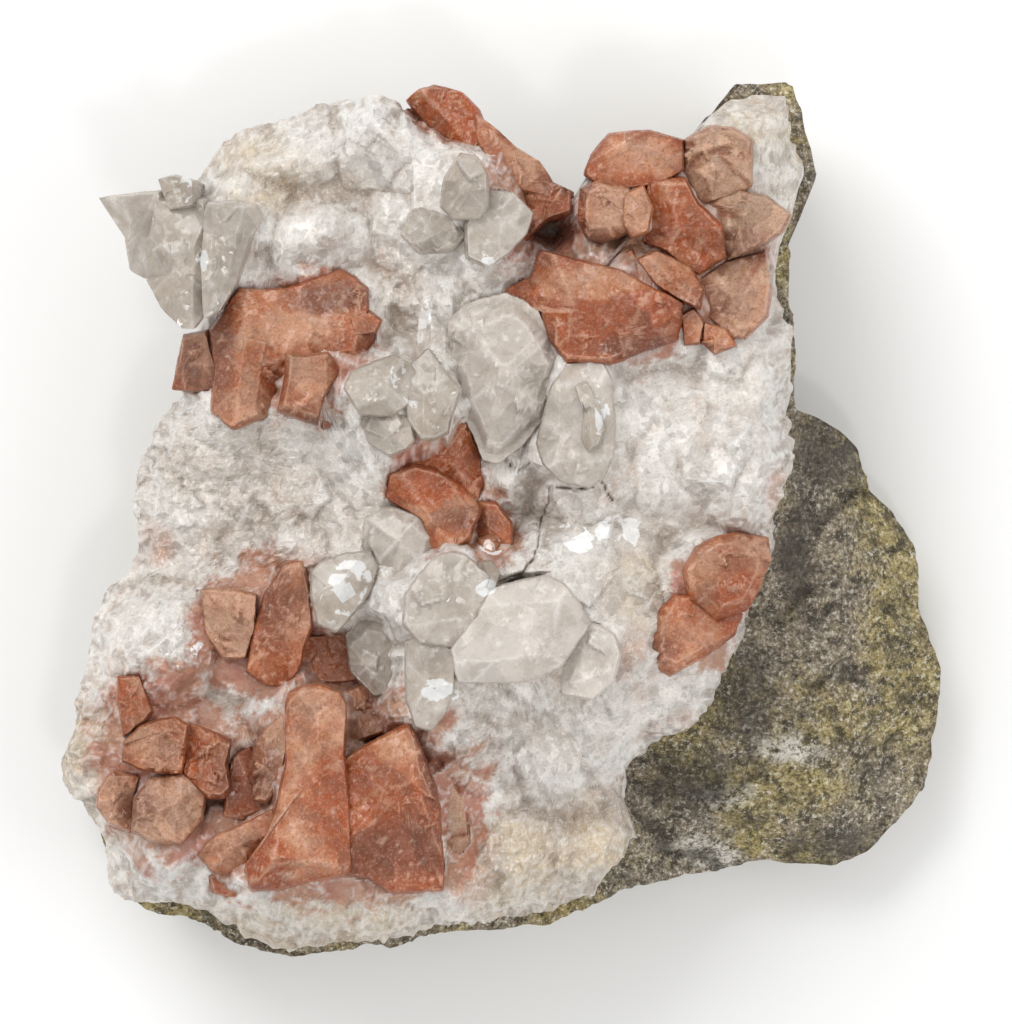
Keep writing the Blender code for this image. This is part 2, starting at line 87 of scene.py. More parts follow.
# %% Outlines of the crust and of the basalt
CRUST_OUTLINE_PX = [
    (180, 205), (197, 165), (215, 127), (255, 112), (300, 100), (350, 88), (402, 95), (434, 86),
    (462, 94), (480, 117), (520, 149), (556, 182), (576, 190), (592, 165), (615, 137), (650, 133),
    (690, 136), (716, 101), (745, 76), (798, 80), (808, 120), (818, 162), (806, 200), (791, 238),
    (786, 290), (797, 320), (798, 400), (803, 440), (794, 485), (782, 522), (777, 575), (755, 620),
    (740, 652), (726, 690), (704, 727), (660, 752), (634, 775), (626, 802), (640, 842), (610, 880),
    (598, 902), (545, 926), (480, 934), (430, 937), (395, 951), (330, 955), (290, 962), (240, 947),
    (200, 925), (150, 917), (108, 898), (96, 868), (82, 830), (57, 783), (53, 762), (65, 738),
    (69, 700), (78, 650), (83, 612), (98, 587), (118, 574), (130, 540), (128, 500), (133, 460),
    (152, 418), (176, 395), (184, 345), (205, 300), (198, 250),
]
BASALT_OUTLINE_PX = [
    (190, 205), (206, 165), (223, 135), (260, 120), (300, 108), (350, 96), (402, 103), (434, 94),
    (458, 102), (474, 124), (514, 158), (552, 190), (577, 198), (596, 172), (620, 145), (650, 141),
    (692, 142), (722, 98), (743, 71), (804, 70), (815, 118), (828, 165), (813, 203), (799, 236),
    (800, 290), (806, 330), (803, 405), (838, 420), (868, 444), (884, 488), (908, 512), (930, 556),
    (935, 620), (950, 672), (944, 750), (938, 800), (905, 838), (880, 862), (842, 877), (780, 872),
    (700, 884), (640, 896), (606, 908), (548, 934), (480, 941), (430, 944), (395, 958), (330, 962),
    (290, 966), (238, 954), (198, 932), (150, 922), (112, 902), (102, 868), (90, 830), (66, 783),
    (60, 762), (73, 738), (77, 700), (86, 650), (91, 616), (104, 594), (124, 582), (138, 540),
    (136, 500), (141, 460), (160, 424), (184, 400), (193, 345), (213, 300), (208, 250),
]


def outline_reach(corners, middle, angles):
    """How far a ring of straight sides lies from its middle at each angle: the ray at that angle meets
    the side between the two corners on either side of it."""
    arms = np.array(corners) - middle
    starts = np.arctan2(arms[:, 1], arms[:, 0])
    reach = np.zeros(np.shape(angles))
    for arm, after, start in zip(arms, np.roll(arms, -1, axis=0), starts):
        side = after - arm
        sweep = (np.arctan2(after[1], after[0]) - start + pi) % tau - pi
        within = ((angles - start) * np.sign(sweep)) % tau <= abs(sweep)
        slant = np.cos(angles) * side[1] - np.sin(angles) * side[0]
        met = within & (np.abs(slant) > 1e-9)
        found = (arm[0] * side[1] - arm[1] * side[0]) / np.where(met, slant, 1)
        reach = np.where(met, np.maximum(reach, found), reach)
    return reach


hub = plan(HUB_PX)
crust_outline = [plan(p) for p in CRUST_OUTLINE_PX]
basalt_outline = [plan(p) for p in BASALT_OUTLINE_PX]
print("outlines with", len(crust_outline), "and", len(basalt_outline), "corners")

# %% [markdown]
# ## Three small tools for natural surfaces
# Rock and crystal need irregularity at several sizes. Soft noise gives waves and wear. A field of
# crystals gives what no noise can: flat faces that meet at sharp edges. Each layer of crystals can be
# the ground of a finer one, as it is in nature. And every body here is made the same way, as a patch of
# surface that is closed by a wall and a bottom, so one tool builds them all. Its patch is a square
# lattice pressed into a disc, because plain rings and spokes would crowd in the middle and leave the
# rim coarse.

# %% Soft noise
NOISE_TABLE = 128


def soft_noise(x, y, size, seed):
    """Noise between -1 and 1: random values on a square lattice of the given size, blended between
    its corners with the smooth weight 3t^2 - 2t^3."""
    table = np.random.default_rng(seed).uniform(-1, 1, (NOISE_TABLE, NOISE_TABLE))
    u, v = x / size, y / size
    i, j = np.floor(u).astype(int), np.floor(v).astype(int)
    s, t = u - i, v - j
    s, t = s * s * (3 - 2 * s), t * t * (3 - 2 * t)
    i, j, next_i, next_j = (n % NOISE_TABLE for n in (i, j, i + 1, j + 1))
    near = table[i, j] * (1 - s) + table[next_i, j] * s
    far = table[i, next_j] * (1 - s) + table[next_i, next_j] * s
    return near * (1 - t) + far * t


def layered_noise(x, y, size, seed, layers=4):
    """Sum of soft noises, each at half the size and half the strength of the one before."""
    return sum(soft_noise(x, y, size / 2**k, seed + k) / 2**k for k in range(layers)) / 2


def warped(x, y, size, depth, seed):
    """The plan pushed about by soft noise, so that what is drawn on it loses its regular outline."""
    east, north = layered_noise(x, y, size, seed, 3), layered_noise(x, y, size, seed + 9, 3)
    return x + depth * east, y + depth * north


RIM_POWER = 14


def ragged(share, angles, depth, seed, size):
    """A share just under 1 that nibbles at an outline: noise along a circle, so that it meets itself.
    It fades inwards with a high power of the share of the way out, so only the rim is moved."""
    wave = layered_noise(2 + np.cos(angles), 2 + np.sin(angles), size, seed, 5)
    chips = np.abs(layered_noise(2 + np.cos(angles), 2 + np.sin(angles), size / 3, seed + 11, 3))
    return 1 - share**RIM_POWER * depth * (0.5 + 0.5 * wave + 0.6 * chips)


print("noise at the hub", layered_noise(hub[:1], hub[1:], 5 * MM, 1))

# %% Crystals grown on a ground
PLAN_REACH = 56 * MM
WALL_SLOPE = 2.5
WALL_START = 0.5
FOOT_SHARE = 0.35
LARGEST_LEAN = 0.7


def grown_on(ground, size, seed, faces=4, steepness=0.5, rise=(0.0, 0.3), follow=0.9, around=(0, 0),
             reach=PLAN_REACH, extra=None):
    """The surface that crystals of about one size make on a ground, as a function of x and y. Each cell
    of a turned lattice holds one crystal. Its tip stands on the ground, higher by a part of its size,
    and leans with the ground's slope there. Its flat faces fall from the tip, and the steepest fall
    counts, so its height is tip + lean times distance - the largest of slope times distance. Where
    crystals meet, the higher one shows."""
    count = int(2 * reach / size) + 4
    lot = np.random.default_rng(seed).random((count, count, 4 + faces))
    turn = tau * lot[0, 0, 0]
    tip_u = (np.arange(count)[:, None] + lot[..., 0] - count / 2) * size
    tip_v = (np.arange(count)[None, :] + lot[..., 1] - count / 2) * size
    tip_x = around[0] + tip_u * cos(turn) - tip_v * sin(turn)
    tip_y = around[1] + tip_u * sin(turn) + tip_v * cos(turn)
    step = FOOT_SHARE * size
    east, west = ground(tip_x + step, tip_y), ground(tip_x - step, tip_y)
    north, south = ground(tip_x, tip_y + step), ground(tip_x, tip_y - step)
    lean_x = np.clip((east - west) / (2 * step), -LARGEST_LEAN, LARGEST_LEAN) * follow
    lean_y = np.clip((north - south) / (2 * step), -LARGEST_LEAN, LARGEST_LEAN) * follow
    near = np.min([east, west, north, south], axis=0)
    tip_z = np.minimum(ground(tip_x, tip_y), near + 0.5 * size)
    tip_z = tip_z + size * (rise[0] + (rise[1] - rise[0]) * lot[..., 2])
    if extra is not None:
        tip_z = tip_z + size * extra(tip_x, tip_y)

    def surface(x, y):
        u = (x - around[0]) * cos(turn) + (y - around[1]) * sin(turn)
        v = (y - around[1]) * cos(turn) - (x - around[0]) * sin(turn)
        column = np.floor(u / size + count / 2).astype(int)
        row = np.floor(v / size + count / 2).astype(int)
        highest = ground(x, y)
        for step_u in (-1, 0, 1):
            for step_v in (-1, 0, 1):
                i = np.clip(column + step_u, 0, count - 1)
                j = np.clip(row + step_v, 0, count - 1)
                own = lot[i, j]
                east, north = x - tip_x[i, j], y - tip_y[i, j]
                fall = np.full(np.shape(x), -1.0)
                for face in range(faces):
                    aim = tau * (own[..., 3] + face / faces)
                    slope = steepness * (0.4 + 1.2 * own[..., 4 + face])
                    away = np.cos(aim) * east + np.sin(aim) * north
                    beyond = np.maximum(away - WALL_START * size, 0)
                    fall = np.maximum(fall, slope * away + WALL_SLOPE * beyond)
                height = tip_z[i, j] + lean_x[i, j] * east + lean_y[i, j] * north - fall
                highest = np.maximum(highest, height)
        return highest

    return surface


def level_ground(x, y):
    return 0 * x


sample = grown_on(level_ground, 2 * MM, 3)
print("on level ground a crystal rises", sample(np.zeros(1), np.zeros(1)))

# %% A patch that is closed into a body
def disc_lattice(count):
    """A square lattice of count by count points pressed into the unit disc. A square ring of half-side
    r becomes the circle of radius r, and a point at the part b/a of its side goes to the angle
    pi/4 times b/a."""
    side = np.linspace(-1, 1, count)
    a, b = np.meshgrid(side, side, indexing="ij")
    upright = np.abs(b) > np.abs(a)
    radius = np.where(upright, b, a)
    part = np.where(upright, a, b) / np.where(radius == 0, 1, radius)
    turn = np.where(upright, pi / 2 - part * pi / 4, part * pi / 4)
    return np.abs(radius), np.arctan2(radius * np.sin(turn), radius * np.cos(turn))


def rim_indices(count):
    """Numbers of the lattice's outer points, counter-clockwise as seen from above."""
    line = np.arange(count - 1)
    last = count - 1
    return np.concatenate([
        line * count, last * count + line, (last - line) * count + last, last - line])


def closed_faces(count, walls):
    """Faces of the lattice, of the wall rings below its rim, and of the fan that closes the bottom."""
    corner = (np.arange(count - 1)[:, None] * count + np.arange(count - 1)).ravel()
    patch = np.stack([corner, corner + count, corner + count + 1, corner + 1], axis=1)
    around = 4 * (count - 1)
    below = count * count + np.arange(walls * around).reshape(walls, around)
    rings = np.vstack([rim_indices(count), below])
    over, under = rings[:-1], rings[1:]
    wall = np.stack([over, under, np.roll(under, -1, axis=1), np.roll(over, -1, axis=1)], axis=2)
    end = rings[-1]
    fan = np.stack([np.full(around, count * count + walls * around), np.roll(end, -1), end], axis=1)
    return np.vstack([patch, wall.reshape(-1, 4)]), fan


def disc_plan(middle, reach, share, angle):
    """Plan position of a disc's points: its middle plus the reach times the share of the way out."""
    return middle[0] + reach * share * np.cos(angle), middle[1] + reach * share * np.sin(angle)


def body_arrays(top, wall_rings, bottom):
    """Vertices and faces of a closed body from the lattice of its top, an array count x count x 3, the
    rings of its wall, an array rings x rim x 3, and the point in the middle of its bottom."""
    count = top.shape[0]
    vertices = np.vstack([top.reshape(-1, 3), wall_rings.reshape(-1, 3), [bottom]])
    quads, fan = closed_faces(count, len(wall_rings))
    return vertices, quads, fan


def add_mesh(name, bodies, marks):
    """One object from one or more closed bodies, with one number per vertex for each named mark."""
    vertices = np.vstack([b[0] for b in bodies])
    starts = np.cumsum([0] + [len(b[0]) for b in bodies[:-1]])
    quads = np.vstack([b[1] + s for b, s in zip(bodies, starts)])
    fans = np.vstack([b[2] + s for b, s in zip(bodies, starts)])
    mesh = bpy.data.meshes.new(name)
    mesh.vertices.add(len(vertices))
    mesh.vertices.foreach_set("co", vertices.astype(np.float32).ravel())
    loops = np.concatenate([quads.ravel(), fans.ravel()])
    sizes = np.concatenate([np.full(len(quads), quads.shape[1]), np.full(len(fans), 3)])
    mesh.loops.add(len(loops))
    mesh.loops.foreach_set("vertex_index", loops.astype(np.int32))
    mesh.polygons.add(len(sizes))
    first_loops = np.concatenate([[0], np.cumsum(sizes)[:-1]])
    mesh.polygons.foreach_set("loop_start", first_loops.astype(np.int32))
    mesh.polygons.foreach_set("loop_total", sizes.astype(np.int32))
    for key, numbers in marks.items():
        layer = mesh.attributes.new(key, "FLOAT", "POINT")
        layer.data.foreach_set("value", np.asarray(numbers, dtype=np.float32).ravel())
    mesh.update(calc_edges=True)
    mesh.validate()
    mesh.shade_smooth()
    piece = bpy.data.objects.new(name, mesh)
    bpy.context.scene.collection.objects.link(piece)
    print(name, "has", len(vertices), "vertices")
    return piece


def blurred(grid, cells):
    """The mean of a square of cells around each point, taken from the running sums of its rows and
    columns."""
    padded = np.pad(grid, cells, mode="edge")
    for axis in (0, 1):
        total = np.cumsum(padded, axis=axis)
        total = np.insert(total, 0, 0, axis=axis)
        width = 2 * cells + 1
        high = np.take(total, np.arange(width, total.shape[axis]), axis=axis)
        low = np.take(total, np.arange(0, total.shape[axis] - width), axis=axis)
        padded = (high - low) / width
    return padded


def hollow(grid, cells, depth, least=-1):
    """How far a place lies under the mean of the square of cells around it, as a share of a depth."""
    return np.clip((blurred(grid, cells) - grid) / depth, least, 1)


def spread(grid, body, rest=0.0):
    """A mark for every vertex of a body: the lattice's own numbers, then one for its walls."""
    return np.concatenate([grid.ravel(), np.full(len(body[0]) - grid.size, rest)])


# %% [markdown]
# ## Where the large crystals are
# Chabazite grows as a rhombohedron, which is so nearly a cube that we can model it as one: a broad
# face, bevelled by its neighbours, over steep walls. Analcime grows as a trapezohedron with 24 kite
# faces. The tables come before the crust, because the crust grows up around the crystals. Each crystal
# has these values:
# - corners: its girdle, a ring of pixels; top: the height of its middle in mm; slope: how its top leans
#   along X and Y; cuts: its ridges, each two pixels and the fall beyond them.
# - crown: the share of the girdle inside its worn edge; drop: the fall of that edge in mm.
# - root and shift: the size of its foot against its girdle, and the foot's offset in pixels.
# - tone, tan and rough: its colour, how tan it is, and how much small crystals cover it.

# %% Tables of crystals
Crystal = namedtuple("Crystal", "corners top slope cuts crown drop root shift tone tan rough facets")


def cube(corners, top, slope=(0, 0), cuts=(), crown=0.9, drop=0.9, root=1.0, shift=(0, 0),
         tone=0.5, tan=0.0, rough=0.3):
    """A chabazite crystal. Its tone runs from 0, pale and frosted, to 1, deep orange."""
    return Crystal(corners, top, slope, cuts, crown, drop, root, shift, tone, tan, rough, False)


def gem(corners, top, slope=(0, 0), cuts=(), crown=0.93, drop=3.0, root=0.85, shift=(0, 0),
        tone=0.3, tan=0.0):
    """An analcime crystal, never rough. Its tone runs from 0, clear, to 1, milky."""
    return Crystal(corners, top, slope, cuts, crown, drop, root, shift, tone, tan, 0.0, True)


CHABAZITE = {
    "chabazite_corner_cubes": [
        cube([(238, 287), (262, 289), (290, 288), (319, 277), (341, 268), (356, 276), (370, 288),
            (370, 313), (382, 321), (375, 331), (381, 359), (362, 363), (341, 380), (300, 400),
            (262, 420), (234, 431), (212, 412), (214, 372), (208, 332)], 42.0, (0.02, 0.02),
            [(247, 296, 240, 420, 0.55), (238, 314, 372, 326, 0.28), (362, 316, 352, 368, 0.9),
            (247, 366, 352, 350, 0.65)], tone=0.55),
        cube([(244, 336), (276, 340), (290, 352), (280, 384), (268, 418), (234, 431), (211, 412),
            (214, 372), (222, 348)], 41.8, (0.0, 0.06), [(246, 340, 238, 425, 0.45),
            (266, 345, 256, 420, 0.8)], tone=0.45),
        cube([(183, 335), (209, 330), (216, 360), (218, 392), (171, 390)], 38.4, (0.15, 0.1),
            [(174, 362, 204, 366, 0.5)], shift=(14, 0), tone=0.3, tan=0.25),
        cube([(287, 354), (310, 355), (328, 353), (340, 366), (339, 376), (325, 397), (318, 426),
            (278, 412), (286, 375)], 44.2, (-0.05, 0.1), [(281, 405, 318, 417, 1.4),
            (325, 356, 328, 392, 0.7)], tone=0.32, tan=0.15),
        cube([(319, 397), (348, 397), (359, 415), (351, 425), (322, 431)], 40.5, (0.1, 0.1),
            [(322, 408, 354, 412, 0.6)], tone=0.25),
        cube([(350, 316), (370, 312), (382, 321), (376, 334), (354, 338)], 42.2, (-0.1, 0.0), tone=0.4),
    ],
    "chabazite_saddle": [
        cube([(452, 418), (468, 422), (480, 452), (484, 486), (474, 512), (440, 500), (412, 478),
            (405, 456), (432, 436)], 40.0, (-0.05, 0.05), [(458, 425, 452, 505, 0.45),
            (412, 448, 470, 470, 0.35)], tone=0.42),
        cube([(412, 462), (436, 468), (468, 490), (482, 510), (470, 540), (456, 552), (432, 553),
            (422, 520), (385, 498), (388, 472)], 41.0, (0.05, 0.0), [(400, 470, 448, 545, 0.4),
            (440, 472, 470, 515, 0.45)], tone=0.5),
        cube([(470, 500), (496, 502), (512, 522), (513, 545), (500, 562), (478, 560), (462, 540)], 38.6,
            (-0.1, 0.1), [(486, 505, 492, 560, 0.6)], tone=0.7),
        cube([(478, 538), (490, 534), (499, 541), (500, 553), (489, 562), (477, 556)], 41.0, (0, 0),
            crown=0.3, drop=2.0, tone=0.0),
    ],
    "chabazite_top_ridge": [
        cube([(405, 100), (418, 88), (434, 84), (462, 92), (478, 108), (486, 136), (476, 156),
            (450, 152), (430, 130)], 38.4, (0.1, 0.0), [(420, 92, 462, 140, 0.5),
            (445, 88, 480, 130, 0.35)], shift=(10, 16), rough=0.8, tone=0.75),
        cube([(474, 112), (496, 128), (516, 147), (541, 162), (553, 180), (556, 200), (540, 196),
            (516, 190), (492, 170), (476, 140)], 38.8, (-0.1, 0.1), [(488, 126, 548, 192, 0.45)],
            shift=(-8, 14), rough=0.8, tone=0.35, tan=0.2),
        cube([(520, 178), (548, 180), (574, 192), (572, 214), (548, 220), (530, 236), (520, 212)], 38.0,
            (0, 0.05), [(540, 184, 536, 224, 0.5)], shift=(-4, 8), rough=0.8, tone=0.5, tan=0.1),
        cube([(500, 230), (520, 212), (536, 224), (524, 250), (500, 268), (488, 262)], 36.5, (0.1, 0),
            rough=0.8, tone=0.8),
    ],
    "chabazite_upper_pocket": [
        cube([(608, 134), (649, 131), (684, 140), (684, 171), (660, 186), (627, 191), (594, 184),
            (582, 176), (590, 156)], 40.0, (0.0, 0.05), [(596, 160, 640, 133, 0.7),
            (640, 140, 664, 186, 0.3)], tone=0.75, rough=0.6),
        cube([(580, 190), (600, 180), (627, 187), (640, 206), (628, 234), (602, 245), (586, 238),
            (578, 222)], 42.0, (0.0, 0.0), [(588, 190, 622, 192, 0.5), (584, 230, 626, 226, 0.9)],
            crown=0.75, drop=1.8, tone=0.35, tan=0.3),
        cube([(623, 197), (643, 186), (652, 210), (647, 234), (631, 239), (622, 226)], 42.4,
            (0.05, 0.0), tone=0.4),
        cube([(646, 180), (684, 178), (698, 204), (722, 226), (726, 258), (698, 276), (664, 252),
            (640, 242)], 40.6, (0.0, 0.0), [(664, 184, 690, 262, 0.4), (650, 232, 720, 226, 0.3)],
            tone=0.72, rough=0.7),
        cube([(684, 140), (708, 126), (733, 128), (753, 140), (752, 186), (738, 196), (700, 206),
            (682, 172)], 38.8, (-0.05, 0.0), [(700, 136, 724, 200, 0.4), (688, 170, 750, 164, 0.3)],
            tone=0.1, tan=0.75, rough=0.9),
        cube([(700, 204), (738, 192), (766, 196), (792, 216), (784, 232), (768, 244), (726, 262),
            (718, 226)], 38.4, (-0.1, 0.0), [(742, 198, 754, 248, 0.4)], tone=0.1, tan=0.9, rough=1.0),
        cube([(696, 281), (725, 261), (766, 250), (772, 289), (768, 316), (746, 340), (732, 340),
            (704, 316)], 38.0, (-0.1, 0.05), [(724, 270, 742, 330, 0.35), (704, 296, 768, 292, 0.35)],
            tone=0.45, tan=0.6, rough=0.9),
        cube([(490, 300), (502, 289), (527, 277), (539, 250), (582, 261), (623, 271), (651, 287),
            (684, 304), (682, 324), (678, 342), (651, 351), (633, 357), (609, 366), (566, 364),
            (548, 340), (539, 312)], 43.5, (0.0, 0.05), [(574, 268, 566, 362, 0.5),
            (651, 285, 619, 360, 0.45), (560, 296, 664, 306, 0.28)], tone=0.5),
        cube([(594, 262), (616, 256), (632, 250), (640, 266), (636, 280), (612, 272)], 39.6, (0.1, 0.0),
            tone=0.6),
        cube([(635, 259), (656, 251), (690, 267), (703, 290), (700, 311), (684, 304), (655, 286)], 41.4,
            (0.05, 0.05), [(648, 256, 696, 300, 0.6)], tone=0.3),
        cube([(680, 314), (694, 308), (704, 324), (700, 344), (684, 346)], 39.5, (0.0, 0.05), tone=0.0),
        cube([(702, 322), (725, 330), (736, 346), (714, 355), (700, 342)], 39.2, (0.0, 0.05), tone=0.4),
    ],
    "chabazite_column_group": [
        cube([(285, 701), (290, 688), (306, 682), (322, 680), (342, 688), (349, 700), (346, 749),
            (350, 800), (354, 868), (347, 876), (308, 883), (276, 891), (250, 892), (242, 868),
            (262, 846), (276, 808), (286, 765)], 43.0, (0.06, -0.01), [(294, 700, 272, 880, 0.55),
            (318, 706, 322, 872, 0.3), (286, 718, 346, 716, 0.12), (250, 866, 352, 858, 0.8)],
            crown=0.88, drop=1.2, tone=0.38),
        cube([(383, 733), (398, 726), (410, 720), (416, 732), (436, 783), (441, 808), (445, 861),
            (444, 892), (392, 894), (368, 878), (345, 874), (342, 790), (338, 759), (360, 745)], 42.4,
            (0.0, 0.04), [(398, 728, 362, 872, 0.28), (410, 724, 434, 850, 0.9),
            (352, 866, 444, 872, 0.7), (380, 800, 444, 800, 0.15)], tone=0.82, rough=0.6),
        cube([(197, 854), (206, 842), (219, 833), (242, 824), (276, 806), (280, 826), (270, 858),
            (240, 877), (213, 873)], 38.8, (0.08, 0.06), [(206, 858, 272, 832, 0.5),
            (224, 832, 240, 872, 0.2)], tone=0.42),
        cube([(206, 874), (242, 872), (254, 888), (236, 898), (212, 892)], 34.8, (0.1, 0.05),
            tone=0.75),
        cube([(254, 744), (268, 726), (284, 712), (290, 740), (284, 776), (268, 804), (252, 800)], 38.6,
            (0.2, 0.0), [(268, 736, 262, 800, 0.8)], tone=0.5, tan=0.5),
        cube([(232, 756), (252, 744), (262, 780), (276, 804), (240, 822), (222, 820), (226, 790)], 35.5,
            (0.1, 0.1), [(238, 760, 262, 812, 0.5)], tone=0.85),
        cube([(347, 690), (366, 682), (386, 700), (392, 728), (370, 738), (340, 756)], 36.0,
            (-0.1, 0.05), [(354, 690, 362, 744, 0.4)], tone=0.7, tan=0.5),
        cube([(437, 790), (452, 778), (468, 800), (470, 840), (456, 860), (444, 856)], 36.6,
            (-0.2, 0.0), tone=0.3, tan=0.8),
    ],
    "chabazite_left_patch": [
        cube([(118, 676), (140, 674), (154, 712), (146, 722), (124, 737), (120, 708)], 37.0,
            (-0.1, 0.0), [(128, 680, 136, 730, 0.5)], rough=0.9, tone=0.85),
        cube([(124, 741), (140, 726), (156, 720), (176, 716), (190, 724), (186, 756), (183, 774),
            (146, 771), (122, 761)], 38.0, (0.0, -0.05), [(150, 724, 160, 772, 0.35)], rough=0.9,
            tone=0.6),
        cube([(190, 722), (212, 730), (232, 739), (228, 765), (233, 790), (224, 799), (207, 798),
            (184, 774), (180, 748)], 37.6, (0.05, -0.1), [(206, 732, 204, 796, 0.5)], rough=0.9,
            tone=0.65),
        cube([(134, 800), (150, 778), (183, 772), (207, 792), (203, 820), (183, 844), (152, 842),
            (132, 830)], 38.6, (0.0, -0.1), [(150, 796, 200, 800, 0.3), (184, 780, 176, 842, 0.45)],
            rough=0.9, tone=0.3, tan=0.55),
        cube([(98, 790), (112, 770), (140, 776), (134, 802), (132, 832), (110, 824), (97, 806)], 36.4,
            (0.0, -0.1), [(118, 776, 118, 826, 0.4)], rough=0.9, tone=0.35, tan=0.3),
    ],
    "chabazite_middle_left": [
        cube([(201, 588), (226, 586), (258, 594), (256, 631), (246, 659), (224, 659), (205, 633)], 38.2,
            (0.0, 0.05), [(226, 590, 232, 656, 0.3)], rough=0.9, tone=0.12, tan=0.45),
        cube([(265, 592), (287, 559), (305, 557), (312, 586), (313, 627), (305, 647), (301, 667),
            (289, 688), (269, 688), (246, 672), (254, 631)], 40.0, (0.0, 0.0),
            [(280, 566, 282, 684, 0.4), (258, 626, 312, 634, 0.3)], rough=0.9, tone=0.6),
        cube([(301, 636), (348, 630), (362, 655), (358, 680), (330, 684), (295, 686)], 35.0, (0.0, 0.0),
            rough=0.9, tone=0.8, tan=0.2),
    ],
    "chabazite_right_patch": [
        cube([(698, 546), (718, 536), (738, 532), (770, 536), (772, 560), (760, 590), (748, 610),
            (716, 622), (690, 600), (684, 570)], 39.8, (-0.12, 0.05), [(706, 544, 724, 616, 0.2)],
            crown=0.7, drop=1.2, shift=(-14, 0), tone=0.3),
        cube([(676, 592), (716, 598), (744, 612), (736, 634), (702, 658), (670, 676), (652, 668),
            (650, 636), (660, 608)], 39.0, (-0.08, 0.05), [(668, 610, 712, 652, 0.2)], crown=0.7,
            drop=1.2, shift=(-8, 6), tone=0.38),
    ],
}
